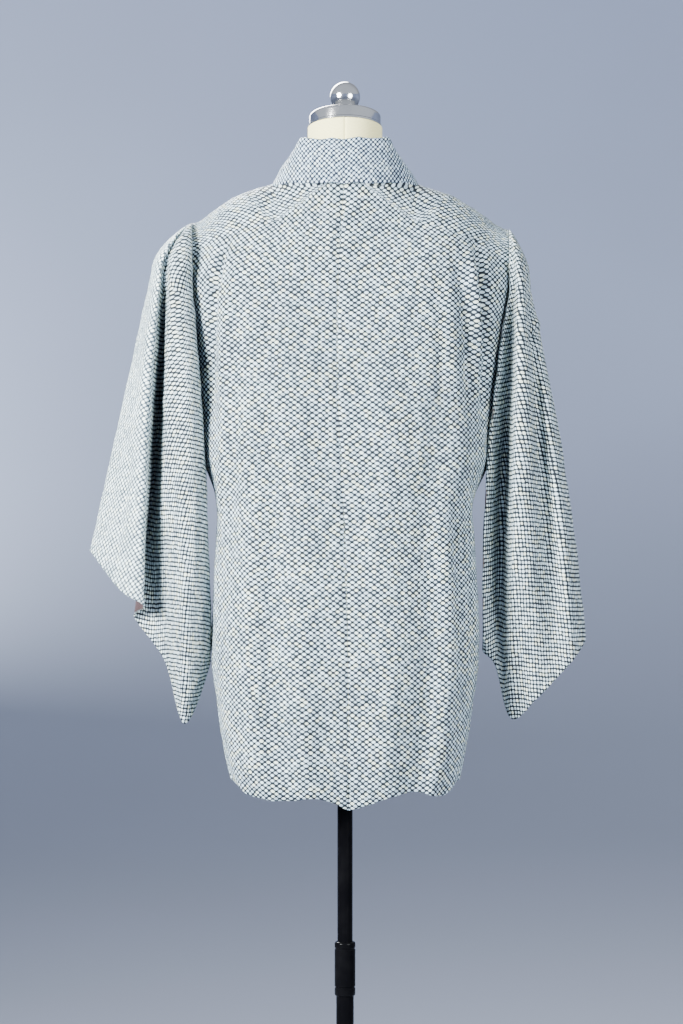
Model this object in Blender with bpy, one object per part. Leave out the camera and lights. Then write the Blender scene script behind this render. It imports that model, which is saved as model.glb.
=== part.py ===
"""Haori jacket on a limbless dress form with a telescopic stand.

Metres, +Z up. The origin is the centre of the base's underside, on the axis of
the pole. The wearer faces -Y and the wearer's left is +X. Cloth walls are
mid-surfaces worked out from the sizes below and thickened to both sides.
"""
import math

import bmesh
import bpy

# Cloth
WALL = 0.002              # thickness of every cloth wall
SEAM_GAP = 0.0003         # clearance between sewn pieces that lie in one plane
CORNER_GAP = 0.0034       # clearance between sewn pieces that meet at an angle

# Body panels
HEM_HEIGHT = 0.693        # hem at the centre back
UNDERARM = 1.135          # lower end of the armhole
GUSSET_TOP = 1.045        # upper end of the side gusset, below the side slit
SPRING = 1.330            # height at which the panels start to arch over the shoulder
NECK_HALF_WIDTH = 0.085   # neck seam beside the neck
NECK_BACK_DEPTH = 0.075   # neck seam behind the neck
NECK_HEIGHT = 1.463       # neck seam beside the neck
NECK_CROWN = 1.550        # height the back would reach without a neck opening
CROWN_HALF_WIDTH = 0.014  # level stretch of that crown on either side of the middle
SHOULDER_ROUND = 0.008    # rise of the shoulder line over a straight line to the sleeve
FRONT_SEAM = 0.112        # collar seam down the front, from the middle
GUSSET_HALF_TOP = 0.010   # half the side gusset's width at its top
GUSSET_HALF_HEM = 0.034   # half its width at the hem
GUSSET_BOW = 0.004        # how far its middle stands out
GUSSET_ROWS = 8
FRONT_HEM_RISE = 0.012    # front hem beside the opening, over the centre back
COLLAR_WIDTH = 0.054      # folded width of the collar
COLLAR_LIFT = 0.0042      # distance between the two layers of the collar
COLLAR_FLARE = 0.004      # how far the collar's free edge stands off
COLLAR_OVERLAP = 0.003    # how far the free edge passes the neck seam

# Dress form
NECK_RADIUS = 0.0465
NECK_TOP = 1.533
CAP_RADIUS = 0.0455
CAP_HEIGHT = 0.0185
CAP_TILT = math.radians(9)
KNOB_RADIUS = 0.0188
KNOB_TOP = 1.5915
KNOB_STEM_RADIUS = 0.0065
KNOB_STEM_GAP = 0.0012    # clearance under the stem, on the tilted top of the cap
NECK_RING = 1.500         # height at which the neck turns round
FORM_BOTTOM = 0.790
SOCKET_DEPTH = 0.060

# Stand
INNER_POLE_RADIUS = 0.0095
INNER_POLE_BOTTOM = 0.180
OUTER_POLE_RADIUS = 0.0110
OUTER_POLE_BORE = 0.0099
OUTER_POLE_TOP = 0.4862
LOCK_RADIUS = 0.0130
LOCK_TOP = 0.5175
LOCK_BOTTOM = 0.4500
BASE_RADIUS = 0.170
BASE_THICKNESS = 0.012
HUB_RADIUS = 0.030
HUB_HEIGHT = 0.045

# Half width of the garment at the side seam, by height
SIDE_WIDTH = [(0.690, 0.131), (0.730, 0.141), (0.775, 0.150), (0.820, 0.1565),
              (0.875, 0.163), (1.000, 0.159), (1.060, 0.155), (1.140, 0.150)]
# Depth of the back and of the front in the middle, by height
BACK_DEPTH = [(0.680, 0.105), (0.720, 0.114), (0.800, 0.120), (0.900, 0.120),
              (1.100, 0.108), (1.250, 0.101), (1.340, 0.092)]
FRONT_DEPTH = [(0.680, 0.112), (0.740, 0.119), (0.900, 0.121), (1.100, 0.122),
               (1.250, 0.121), (1.340, 0.106)]
# Sideways bow of the centre-back seam, by height
CENTRE_BOW = [(0.680, -0.004), (0.820, -0.004), (1.005, 0.0), (1.156, 0.007),
              (1.270, 0.010), (1.340, 0.008), (1.400, 0.002),
              (1.430, 0.0)]
# Height of the back hem over its own level, by fraction of the half width
HEM_RISE = {
    1: [(0.0, 0.0), (0.25, 0.015), (0.55, 0.012), (0.85, 0.016), (1.0, 0.030)],
    -1: [(0.0, 0.0), (0.25, 0.010), (0.60, 0.023), (0.90, 0.016), (1.0, 0.030)],
}
# Soft lengthwise folds of the back and front panels:
# (fraction of the half width, height of the fold's ridge, half width)
PANEL_FOLDS = {
    (1, "back"): [(0.34, 0.0035, 0.018), (0.72, 0.0055, 0.016), (0.52, -0.004, 0.016)],
    (-1, "back"): [(0.28, 0.0040, 0.020), (0.80, 0.0060, 0.014), (0.62, -0.005, 0.016)],
    (1, "front"): [(0.80, 0.012, 0.010), (0.93, -0.008, 0.008)],
    (-1, "front"): [(0.82, 0.011, 0.010), (0.94, -0.007, 0.008)],
}

# Sleeves. Each row is one pleat line from the shoulder to the hem: x and y close
# below the shoulder, half way and at the hem, then the height of the hem there.
# The rows run from the back edge of the armhole, round the outer fold, to its
# front edge; rows of equal number from either end meet at the sewn bottom.
SHOULDER = {1: (0.191, 1.414), -1: (0.205, 1.406)}
NEAR_SHOULDER = 0.15
SLEEVE_LINES = {
    1: [
        (0.190, 0.180, 0.178, 0.026, 0.006, 0.008, 0.872),
        (0.190, 0.175, 0.169, 0.044, 0.048, 0.014, 0.864),
        (0.200, 0.195, 0.200, 0.055, 0.060, 0.008, 0.790),
        (0.214, 0.221, 0.224, 0.052, 0.044, 0.010, 0.868),
        (0.224, 0.234, 0.262, 0.034, -0.010, 0.008, 0.922),
        (0.229, 0.242, 0.248, 0.042, 0.050, 0.044, 0.938),
        (0.236, 0.258, 0.278, 0.030, 0.036, 0.036, 0.958),
        (0.241, 0.273, 0.319, 0.000, -0.004, -0.008, 1.006),
        (0.235, 0.263, 0.292, -0.030, -0.052, -0.058, 0.968),
        (0.227, 0.245, 0.266, -0.047, -0.086, -0.084, 0.940),
        (0.217, 0.228, 0.248, -0.046, -0.032, -0.034, 0.915),
        (0.208, 0.212, 0.224, -0.053, -0.088, -0.006, 0.868),
        (0.199, 0.197, 0.200, -0.051, -0.050, -0.004, 0.790),
        (0.191, 0.181, 0.169, -0.044, -0.068, -0.006, 0.864),
        (0.190, 0.181, 0.178, -0.026, -0.012, -0.002, 0.872),
    ],
    -1: [
        (0.2040, 0.184, 0.182, 0.026, 0.002, 0.004, 0.900),
        (0.2045, 0.180, 0.172, 0.036, 0.030, 0.026, 0.882),
        (0.2095, 0.202, 0.188, 0.040, -0.004, 0.014, 0.862),
        (0.2145, 0.208, 0.207, 0.048, 0.054, 0.010, 0.797),
        (0.2195, 0.226, 0.236, 0.046, 0.054, 0.036, 0.822),
        (0.2240, 0.243, 0.262, 0.037, 0.026, 0.034, 0.849),
        (0.2290, 0.257, 0.284, 0.022, 0.034, 0.030, 0.873),
        (0.2320, 0.267, 0.301, 0.000, -0.002, -0.006, 0.895),
        (0.2290, 0.257, 0.286, -0.026, -0.050, -0.056, 0.880),
        (0.2240, 0.242, 0.262, -0.042, -0.084, -0.080, 0.856),
        (0.2180, 0.226, 0.236, -0.047, -0.034, -0.032, 0.830),
        (0.2120, 0.212, 0.207, -0.050, -0.084, -0.004, 0.797),
        (0.2070, 0.201, 0.188, -0.042, -0.042, 0.000, 0.862),
        (0.2050, 0.190, 0.172, -0.034, -0.066, -0.012, 0.882),
        (0.2040, 0.188, 0.182, -0.026, -0.020, -0.004, 0.900),
    ],
}
SEWN_LINES = 3            # the sleeve's bottom is sewn from its inner edge to this line

# Dress form rings: height, half width, depth of the back, depth of the front
FORM_RINGS = [
    (0.790, 0.138, 0.092, 0.088), (0.800, 0.145, 0.098, 0.093), (0.860, 0.150, 0.108, 0.100),
    (0.950, 0.139, 0.098, 0.095), (1.050, 0.113, 0.076, 0.086), (1.150, 0.126, 0.078, 0.096),
    (1.250, 0.141, 0.084, 0.110), (1.320, 0.150, 0.080, 0.096), (1.370, 0.158, 0.062, 0.066),
    (1.400, 0.155, 0.049, 0.050), (1.420, 0.140, 0.043, 0.043), (1.435, 0.114, 0.043, 0.041),
    (1.448, 0.086, 0.045, 0.042), (1.462, 0.062, 0.0465, 0.0445), (1.480, 0.049, 0.0465, 0.0465),
]
FORM_SEGMENTS = 32

EDGE_CROWDING = 1.6       # draws the body panels' columns towards the side
BODY_COLUMNS = 10
LOWER_ROWS = 14
ARCH_ROWS = 6
NECK_ROWS = 6
SLEEVE_COLUMNS = 28
SLEEVE_ROWS = 15
DOME_ROWS = 4
DOME_START = math.radians(28)
COLLAR_LAYER_COLUMNS = 3


def clear_scene():
    for item in list(bpy.data.objects):
        bpy.data.objects.remove(item, do_unlink=True)


def mix(a, b, t):
    return a + (b - a) * t


def ease(t):
    t = min(max(t, 0.0), 1.0)
    return t * t * (3 - 2 * t)


def along(stations, key):
    """Smooth value at a key, through (key, value) stations in rising order."""
    if key <= stations[0][0]:
        return stations[0][1]
    if key >= stations[-1][0]:
        return stations[-1][1]
    i = 0
    while stations[i + 1][0] < key:
        i += 1
    before = stations[max(i - 1, 0)]
    start, end = stations[i], stations[i + 1]
    after = stations[min(i + 2, len(stations) - 1)]
    span = end[0] - start[0]
    t = (key - start[0]) / span
    slope_in = (end[1] - before[1]) / (end[0] - before[0]) * span
    slope_out = (after[1] - start[1]) / (after[0] - start[0]) * span
    return (start[1] * (2 * t ** 3 - 3 * t ** 2 + 1) + slope_in * (t ** 3 - 2 * t ** 2 + t)
            + end[1] * (3 * t ** 2 - 2 * t ** 3) + slope_out * (t ** 3 - t ** 2))


def through_three(near, middle, far, t):
    """Parabola through the values near the shoulder, half way and at the hem."""
    a, b, c = NEAR_SHOULDER, 0.5, 1.0
    return (near * (t - b) * (t - c) / ((a - b) * (a - c))
            + middle * (t - a) * (t - c) / ((b - a) * (b - c))
            + far * (t - a) * (t - b) / ((c - a) * (c - b)))


# Sleeves

def sleeve_line(side, number, t):
    """Point on one pleat line; t is 0 at the shoulder point and 1 at the hem."""
    x0, x1, x2, y0, y1, y2, hem = SLEEVE_LINES[side][number]
    shoulder_x, shoulder_z = SHOULDER[side]
    below = max(t, NEAR_SHOULDER)
    x = through_three(x0, x1, x2, below)
    y = through_three(y0, y1, y2, below)
    if t < NEAR_SHOULDER:
        dome = max(0.0, 1 - (1 - t / NEAR_SHOULDER) ** 2)
        x = mix(shoulder_x, x, dome ** 0.9)
        y *= math.sqrt(dome)
    return x, y, mix(shoulder_z, hem, t)


def sleeve_point(side, s, t):
    """Point of the sleeve's mid-surface; s runs from the back to the front edge."""
    last = len(SLEEVE_LINES[side]) - 1
    place = s * last
    i = min(int(place), last - 1)
    f = place - i
    a = sleeve_line(side, max(i - 1, 0), t)
    b = sleeve_line(side, i, t)
    c = sleeve_line(side, i + 1, t)
    d = sleeve_line(side, min(i + 2, last), t)
    point = [0.5 * (2 * b[k] + (c[k] - a[k]) * f + (2 * a[k] - 5 * b[k] + 4 * c[k] - d[k]) * f * f
                    + (3 * b[k] - a[k] - 3 * c[k] + d[k]) * f ** 3) for k in range(3)]
    return side * point[0], point[1], point[2]


def armhole(side, face, z):
    """Unsigned x and signed y of the sleeve's edge line at a height."""
    number = 0 if face == "back" else len(SLEEVE_LINES[side]) - 1
    hem = SLEEVE_LINES[side][number][-1]
    shoulder_z = SHOULDER[side][1]
    x, y, _ = sleeve_line(side, number, (shoulder_z - z) / (shoulder_z - hem))
    return x, y


# Body panels

def side_edge(side, face, z):
    """Outer edge of a body panel: armhole, side slit, then the gusset's seam."""
    sign = 1 if face == "back" else -1
    arm_x, arm_y = armhole(side, face, max(z, UNDERARM))
    arm_x -= CORNER_GAP
    width = along(SIDE_WIDTH, z)
    half = mix(GUSSET_HALF_TOP, GUSSET_HALF_HEM, (GUSSET_TOP - z) / (GUSSET_TOP - HEM_HEIGHT))
    t = ease((z - GUSSET_TOP) / (UNDERARM - GUSSET_TOP))
    return mix(width, arm_x, t), mix(sign * max(half, GUSSET_HALF_TOP), arm_y, t)


def inner_edge(side, face, z):
    """Centre-back seam on the back, collar seam on the front."""
    if face == "front":
        return FRONT_SEAM
    return side * along(CENTRE_BOW, z) + SEAM_GAP / 2


def panel_fold(side, face, fraction, width, z):
    """Soft folds that fade out towards the shoulders."""
    grow = 1 - ease((z - 0.95) / 0.40)
    total = 0.0
    for centre, height, half_width in PANEL_FOLDS[(side, face)]:
        total += height * math.exp(-((fraction - centre) * width / half_width) ** 2)
    return total * grow


def wall_point(side, face, z, u):
    """Unsigned x and signed y of a body panel's mid-surface at a height."""
    sign = 1 if face == "back" else -1
    edge_x, edge_y = side_edge(side, face, z)
    inner = inner_edge(side, face, z)
    x = mix(inner, edge_x, 1 - (1 - u) ** EDGE_CROWDING)
    depth = along(BACK_DEPTH if face == "back" else FRONT_DEPTH, z)
    flare = ease((z - 1.00) / 0.22)
    n = mix(3.2, 4.5, flare)
    m = mix(2.3, 1.05, flare)
    fraction = min(abs(x) / edge_x, 1.0)
    rise = (1 - fraction ** n) ** (1 / m)
    y = edge_y + (sign * depth - edge_y) * rise
    y += sign * panel_fold(side, face, fraction, edge_x, z) * min(1.0, (1 - fraction) * 6)
    return x, y


def hem_height(side, face, u):
    fraction = 1 - (1 - u) ** EDGE_CROWDING
    rise = along(HEM_RISE[side], fraction)
    if face == "front":
        rise = mix(FRONT_HEM_RISE, HEM_RISE[side][-1][1], ease(fraction))
    return HEM_HEIGHT + rise


def crown(side, x):
    """Height of the shoulder line over an unsigned x."""
    shoulder_x, shoulder_z = SHOULDER[side]
    if x < NECK_HALF_WIDTH:
        t = (x - CROWN_HALF_WIDTH) / (NECK_HALF_WIDTH - CROWN_HALF_WIDTH)
        return mix(NECK_CROWN, NECK_HEIGHT, max(t, 0.0))
    t = (x - NECK_HALF_WIDTH) / (shoulder_x - NECK_HALF_WIDTH)
    return mix(NECK_HEIGHT, shoulder_z, t) + SHOULDER_ROUND * math.sin(math.pi * min(t, 1.0))


def body_point(side, u, v):
    """Mid-surface of a body panel. v: 0 back hem, 1-3 over the shoulder, 4 front hem."""
    face = "back" if v < 2 else "front"
    if v <= 1 or v >= 3:
        z = mix(hem_height(side, face, u), SPRING, v if v <= 1 else 4 - v)
        x, y = wall_point(side, face, z, u)
        return side * x, y, z
    angle = (v - 1) * math.pi / 2
    sweep = abs(math.cos(angle))
    lift = math.sin(angle)
    _, spring_y = wall_point(side, face, SPRING, u)
    _, edge_y = wall_point(side, face, SPRING, 1.0)
    y = spring_y * sweep
    if face == "back":
        inner = inner_edge(side, face, mix(SPRING, NECK_HEIGHT, lift))
        middle_y = along(BACK_DEPTH, SPRING) * sweep
        if middle_y < NECK_BACK_DEPTH:
            open_x = NECK_HALF_WIDTH * math.sqrt(1 - (middle_y / NECK_BACK_DEPTH) ** 2)
            inner = max(inner, open_x)
    else:
        inner = mix(NECK_HALF_WIDTH, FRONT_SEAM, ease(sweep))
    outer_z = mix(SPRING, SHOULDER[side][1], lift)
    arm_x, arm_y = armhole(side, face, outer_z)
    arm_x -= CORNER_GAP
    x = mix(inner, arm_x, mix(1 - (1 - u) ** EDGE_CROWDING, u, ease(lift)))
    y += (arm_y - edge_y * sweep) * u ** 4
    z = mix(SPRING, mix(crown(side, x), SHOULDER[side][1], u ** 6), lift)
    return side * x, y, z


def neck_rows():
    """Rows from the top of the centre-back seam to the shoulder line."""
    start = neck_start()
    return [mix(start, 2.0, (i / NECK_ROWS) ** 1.5) for i in range(NECK_ROWS)]


def body_rows():
    lower = [i / LOWER_ROWS for i in range(LOWER_ROWS)]
    arch = [mix(1.0, neck_start(), i / 3) for i in range(3)] + neck_rows()
    arch += [2 + i / ARCH_ROWS for i in range(ARCH_ROWS)]
    front = [3 + i / LOWER_ROWS for i in range(LOWER_ROWS + 1)]
    return lower + arch + front


# Collar

def collar_direction(v):
    """Direction from the neck seam to the collar's fold, for the side x > 0."""
    back = (0.0, -0.40, 0.917)
    beside = (-0.61, 0.0, 0.79)
    front = (-0.99, -0.10, 0.0)
    if v < 2:
        t = ease((v - neck_start()) / (2 - neck_start()))
        a, b = back, beside
    else:
        t = ease((v - 2) / 0.8)
        a, b = beside, front
    return [mix(a[k], b[k], t) for k in range(3)]


def neck_start():
    """Row at which the centre-back seam ends and the neck seam begins."""
    return 1 + math.acos(NECK_BACK_DEPTH / along(BACK_DEPTH, SPRING)) / (math.pi / 2)


def collar_point(v, p):
    """Mid-surface of the collar on the side x > 0.

    p is 0 at the neck seam, 1 at the fold and 2 at the free edge outside.
    """
    seam = body_point(1, 0.0, v)
    toward = collar_direction(v)
    length = math.sqrt(sum(c * c for c in toward))
    toward = [c / length for c in toward]
    if v < 2:
        t = ease((v - neck_start()) / (2 - neck_start()))
        outward = [mix(0.0, 0.79, t), mix(0.93, 0.0, t), mix(0.36, 0.61, t)]
    else:
        t = ease((v - 2) / 0.8)
        outward = [mix(0.79, 0.10, t), mix(0.0, -0.99, t), mix(0.61, 0.0, t)]
    reach = mix(CORNER_GAP, COLLAR_WIDTH, p) if p <= 1 else mix(COLLAR_WIDTH, -COLLAR_OVERLAP, p - 1)
    lift = 0.0 if p <= 1 else COLLAR_LIFT
    if p > 1:
        lift += COLLAR_FLARE * (p - 1)
    return [seam[k] + toward[k] * reach + outward[k] * lift for k in range(3)]


def collar_columns():
    inner = [i / COLLAR_LAYER_COLUMNS for i in range(COLLAR_LAYER_COLUMNS + 1)]
    outer = [1 + (i + 0.001) / COLLAR_LAYER_COLUMNS for i in range(COLLAR_LAYER_COLUMNS + 1)]
    outer[-1] = 2.0
    return inner + outer


def collar_rows():
    return neck_rows() + [2 + i / ARCH_ROWS for i in range(ARCH_ROWS)] + [
        3 + i / LOWER_ROWS for i in range(LOWER_ROWS + 1)]


# Making the solids

def make_material(name, colour, roughness, metallic=0.0):
    material = bpy.data.materials.new(name)
    material.use_nodes = True
    shader = material.node_tree.nodes["Principled BSDF"]
    shader.inputs["Base Color"].default_value = (*colour, 1.0)
    shader.inputs["Roughness"].default_value = roughness
    shader.inputs["Metallic"].default_value = metallic
    return material


def add_object(name, mesh_data, material):
    mesh = bpy.data.meshes.new(name)
    mesh_data.to_mesh(mesh)
    mesh_data.free()
    mesh.materials.append(material)
    mesh.shade_smooth()
    item = bpy.data.objects.new(name, mesh)
    bpy.context.scene.collection.objects.link(item)
    return item


def thicken(item):
    wall = item.modifiers.new("wall", "SOLIDIFY")
    wall.thickness = WALL
    wall.offset = 0.0
    return item


def mapped_grid(columns, rows, place):
    """A grid of columns by rows vertices, each moved to place(column, row)."""
    sheet = bmesh.new()
    bmesh.ops.create_grid(sheet, x_segments=columns - 1, y_segments=rows - 1, size=0.5)
    sheet.verts.ensure_lookup_table()
    for vert in sheet.verts:
        column = round((vert.co.x + 0.5) * (columns - 1))
        row = round((vert.co.y + 0.5) * (rows - 1))
        vert.co = place(column, row)
    return sheet


def face_outward(sheet, centre):
    """Turn the faces so that most point away from an axis at centre (x, y)."""
    total = 0.0
    for face in sheet.faces:
        middle = face.calc_center_median()
        away = (middle.x - centre[0]) * face.normal.x + (middle.y - centre[1]) * face.normal.y
        total += away * face.calc_area()
    if total < 0:
        bmesh.ops.reverse_faces(sheet, faces=sheet.faces)


def build_body_panel(side, name, material):
    rows = body_rows()
    sheet = mapped_grid(BODY_COLUMNS + 1, len(rows),
                        lambda i, j: body_point(side, i / BODY_COLUMNS, rows[j]))
    sheet.normal_update()
    face_outward(sheet, (side * 0.08, 0.0))
    return thicken(add_object(name, sheet, material))


def build_gusset(side, name, material):
    rows = GUSSET_ROWS

    def place(i, j):
        z_top, z_low = GUSSET_TOP, hem_height(side, "back", 1.0)
        z = mix(z_low, z_top, j / rows)
        edge_x, edge_y = side_edge(side, "back", z)
        across = mix(-1, 1, i / 3)
        bow = GUSSET_BOW * (1 - across * across) * ease((z_top - z) / 0.1)
        return side * (edge_x + bow), across * (edge_y - 2 * SEAM_GAP), z

    sheet = mapped_grid(4, rows + 1, place)
    sheet.normal_update()
    face_outward(sheet, (0.0, 0.0))
    return thicken(add_object(name, sheet, material))


def sleeve_row(j):
    """Fraction of the way to the hem: close rows over the shoulder's dome first."""
    if j < DOME_ROWS:
        angle = mix(DOME_START, math.pi / 2, j / DOME_ROWS)
        return NEAR_SHOULDER * (1 - math.cos(angle))
    return mix(NEAR_SHOULDER, 1.0, (j - DOME_ROWS) / (SLEEVE_ROWS - DOME_ROWS))


def build_sleeve(side, name, material):
    def place(i, j):
        return sleeve_point(side, i / SLEEVE_COLUMNS, sleeve_row(j))

    sheet = mapped_grid(SLEEVE_COLUMNS + 1, SLEEVE_ROWS + 1, place)
    sheet.verts.ensure_lookup_table()
    bmesh.ops.contextual_create(sheet, geom=sheet.verts[:SLEEVE_COLUMNS + 1])
    hem = sheet.verts[-(SLEEVE_COLUMNS + 1):]
    sewn = SEWN_LINES * SLEEVE_COLUMNS // (len(SLEEVE_LINES[side]) - 1)
    back = [sheet.edges.get((hem[i], hem[i + 1])) for i in range(sewn)]
    front = [sheet.edges.get((hem[-1 - i], hem[-2 - i])) for i in range(sewn)]
    bmesh.ops.bridge_loops(sheet, edges=back + front)
    bmesh.ops.recalc_face_normals(sheet, faces=sheet.faces)
    face_outward(sheet, (side * 0.21, 0.0))
    return thicken(add_object(name, sheet, material))


def build_collar(material):
    half = collar_rows()
    rows = [(-1, v) for v in reversed(half[1:])] + [(1, v) for v in half]
    columns = collar_columns()

    def place(i, j):
        side, v = rows[j]
        x, y, z = collar_point(v, columns[i])
        return side * x, y, z

    sheet = mapped_grid(len(columns), len(rows), place)
    sheet.normal_update()
    return thicken(add_object("collar", sheet, material))


def loft_rings(solid, rings):
    """Join rings of vertices one after the other and close both ends."""
    loops = [[solid.verts.new(co) for co in ring] for ring in rings]
    for low, high in zip(loops, loops[1:]):
        count = len(low)
        for i in range(count):
            j = (i + 1) % count
            solid.faces.new((low[i], low[j], high[j], high[i]))
    solid.faces.new(list(reversed(loops[0])))
    solid.faces.new(loops[-1])


def form_ring(height, half_width, back, front):
    ring = []
    for i in range(FORM_SEGMENTS):
        angle = 2 * math.pi * i / FORM_SEGMENTS
        depth = back if math.sin(angle) > 0 else front
        x = half_width * math.copysign(abs(math.cos(angle)) ** 0.9, math.cos(angle))
        ring.append((x, depth * math.sin(angle), height))
    return ring


def circle(radius, height):
    return [(radius * math.cos(2 * math.pi * i / FORM_SEGMENTS),
             radius * math.sin(2 * math.pi * i / FORM_SEGMENTS), height)
            for i in range(FORM_SEGMENTS)]


def build_torso(material):
    bore = INNER_POLE_RADIUS + SEAM_GAP
    rings = [circle(bore, FORM_BOTTOM + SOCKET_DEPTH), circle(bore, FORM_BOTTOM)]
    rings += [form_ring(*row) for row in FORM_RINGS]
    rings += [circle(NECK_RADIUS, NECK_RING)]
    slope = math.tan(CAP_TILT)
    rings.append([(x, y, z + y * slope) for x, y, z in circle(NECK_RADIUS, NECK_TOP)])
    solid = bmesh.new()
    loft_rings(solid, rings)
    bmesh.ops.recalc_face_normals(solid, faces=solid.faces)
    item = add_object("form_torso", solid, material)
    item.data.set_sharp_from_angle(angle=math.radians(50))
    return item


def turned(name, profile, material, segments=32):
    """Solid of revolution about the pole's axis, from (radius, height) points."""
    solid = bmesh.new()
    verts = [solid.verts.new((radius, 0.0, height)) for radius, height in profile]
    edges = [solid.edges.new((a, b)) for a, b in zip(verts, verts[1:])]
    if profile[0][0] > 0:
        edges.append(solid.edges.new((verts[-1], verts[0])))
    bmesh.ops.spin(solid, geom=verts + edges, cent=(0, 0, 0), axis=(0, 0, 1),
                   angle=2 * math.pi, steps=segments, use_merge=True)
    bmesh.ops.remove_doubles(solid, verts=solid.verts, dist=0.00001)
    bmesh.ops.recalc_face_normals(solid, faces=solid.faces)
    item = add_object(name, solid, material)
    item.data.set_sharp_from_angle(angle=math.radians(35))
    return item


def build_cap(material):
    low = NECK_TOP + SEAM_GAP / math.cos(CAP_TILT)
    profile = [(0.0, 0.0), (CAP_RADIUS, 0.0), (CAP_RADIUS, CAP_HEIGHT - 0.004),
               (CAP_RADIUS - 0.002, CAP_HEIGHT - 0.001), (CAP_RADIUS - 0.006, CAP_HEIGHT),
               (0.0, CAP_HEIGHT)]
    cap = turned("neck_cap", profile, material)
    cap.location = (0.0, 0.0, low)
    cap.rotation_euler = (CAP_TILT, 0.0, 0.0)
    return cap


def build_knob(material):
    centre = KNOB_TOP - KNOB_RADIUS
    low = NECK_TOP + SEAM_GAP + CAP_HEIGHT / math.cos(CAP_TILT) + KNOB_STEM_GAP
    profile = [(0.0, low), (KNOB_STEM_RADIUS, low)]
    meet = math.asin(KNOB_STEM_RADIUS / KNOB_RADIUS)
    steps = 12
    for i in range(steps + 1):
        angle = mix(math.pi - meet, 0.0, i / steps)
        profile.append((KNOB_RADIUS * math.sin(angle), centre + KNOB_RADIUS * math.cos(angle)))
    profile[-1] = (0.0, KNOB_TOP)
    return turned("neck_knob", profile, material, segments=24)


def build_stand(black):
    edge = 0.003
    turned("stand_base", [
        (0.0, 0.0), (BASE_RADIUS - edge, 0.0), (BASE_RADIUS, edge),
        (BASE_RADIUS, BASE_THICKNESS - edge), (BASE_RADIUS - edge, BASE_THICKNESS),
        (HUB_RADIUS, BASE_THICKNESS), (HUB_RADIUS - 0.002, HUB_HEIGHT - 0.006),
        (HUB_RADIUS - 0.008, HUB_HEIGHT), (OUTER_POLE_RADIUS + SEAM_GAP, HUB_HEIGHT),
        (OUTER_POLE_RADIUS + SEAM_GAP, BASE_THICKNESS), (0.0, BASE_THICKNESS),
    ], black, segments=48)
    turned("pole_outer", [
        (OUTER_POLE_BORE, BASE_THICKNESS + SEAM_GAP), (OUTER_POLE_RADIUS, BASE_THICKNESS + SEAM_GAP),
        (OUTER_POLE_RADIUS, OUTER_POLE_TOP), (OUTER_POLE_BORE, OUTER_POLE_TOP),
    ], black, segments=24)
    step = OUTER_POLE_TOP + SEAM_GAP
    turned("pole_lock", [
        (OUTER_POLE_RADIUS + SEAM_GAP, LOCK_BOTTOM), (LOCK_RADIUS - 0.001, LOCK_BOTTOM),
        (LOCK_RADIUS, LOCK_BOTTOM + 0.002), (LOCK_RADIUS, LOCK_TOP - 0.003),
        (LOCK_RADIUS - 0.002, LOCK_TOP), (OUTER_POLE_BORE, LOCK_TOP),
        (OUTER_POLE_BORE, step), (OUTER_POLE_RADIUS + SEAM_GAP, step),
    ], black, segments=24)
    turned("pole_inner", [
        (0.0, INNER_POLE_BOTTOM), (INNER_POLE_RADIUS, INNER_POLE_BOTTOM),
        (INNER_POLE_RADIUS, FORM_BOTTOM + SOCKET_DEPTH - SEAM_GAP),
        (0.0, FORM_BOTTOM + SOCKET_DEPTH - SEAM_GAP),
    ], black, segments=24)


def main():
    clear_scene()
    silk = make_material("shibori_silk", (0.42, 0.47, 0.50), 0.75)
    collar_silk = make_material("collar_silk", (0.40, 0.46, 0.54), 0.75)
    linen = make_material("cream_linen", (0.80, 0.78, 0.62), 0.85)
    chrome = make_material("chrome", (0.75, 0.75, 0.76), 0.12, 1.0)
    black = make_material("black_steel", (0.012, 0.012, 0.014), 0.22, 0.2)
    for side, word in ((1, "left"), (-1, "right")):
        build_body_panel(side, "body_" + word, silk)
        build_gusset(side, "gusset_" + word, silk)
        build_sleeve(side, "sleeve_" + word, silk)
    build_collar(collar_silk)
    build_torso(linen)
    build_cap(chrome)
    build_knob(chrome)
    build_stand(black)


main()
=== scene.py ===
import math

import bmesh
import bpy
import numpy as np
from mathutils import Matrix, Vector, noise


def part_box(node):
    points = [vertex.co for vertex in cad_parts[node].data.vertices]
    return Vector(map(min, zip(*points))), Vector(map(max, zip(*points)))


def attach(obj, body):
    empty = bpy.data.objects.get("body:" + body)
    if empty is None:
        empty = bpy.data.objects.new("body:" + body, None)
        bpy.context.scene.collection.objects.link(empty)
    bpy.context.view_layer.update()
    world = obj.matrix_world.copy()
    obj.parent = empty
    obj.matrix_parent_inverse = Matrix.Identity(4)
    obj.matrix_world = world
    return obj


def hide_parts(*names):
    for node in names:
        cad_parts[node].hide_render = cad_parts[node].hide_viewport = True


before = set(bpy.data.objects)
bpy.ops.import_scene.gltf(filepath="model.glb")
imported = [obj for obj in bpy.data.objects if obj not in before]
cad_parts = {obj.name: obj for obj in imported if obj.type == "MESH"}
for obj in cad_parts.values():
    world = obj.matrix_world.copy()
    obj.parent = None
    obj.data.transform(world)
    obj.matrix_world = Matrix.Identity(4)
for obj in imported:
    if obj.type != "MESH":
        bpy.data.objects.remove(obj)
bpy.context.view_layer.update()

scene = bpy.context.scene


# Small helpers

def mix(a, b, t):
    return a + (b - a) * t


def ease(t):
    t = min(max(t, 0.0), 1.0)
    return t * t * (3 - 2 * t)


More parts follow.
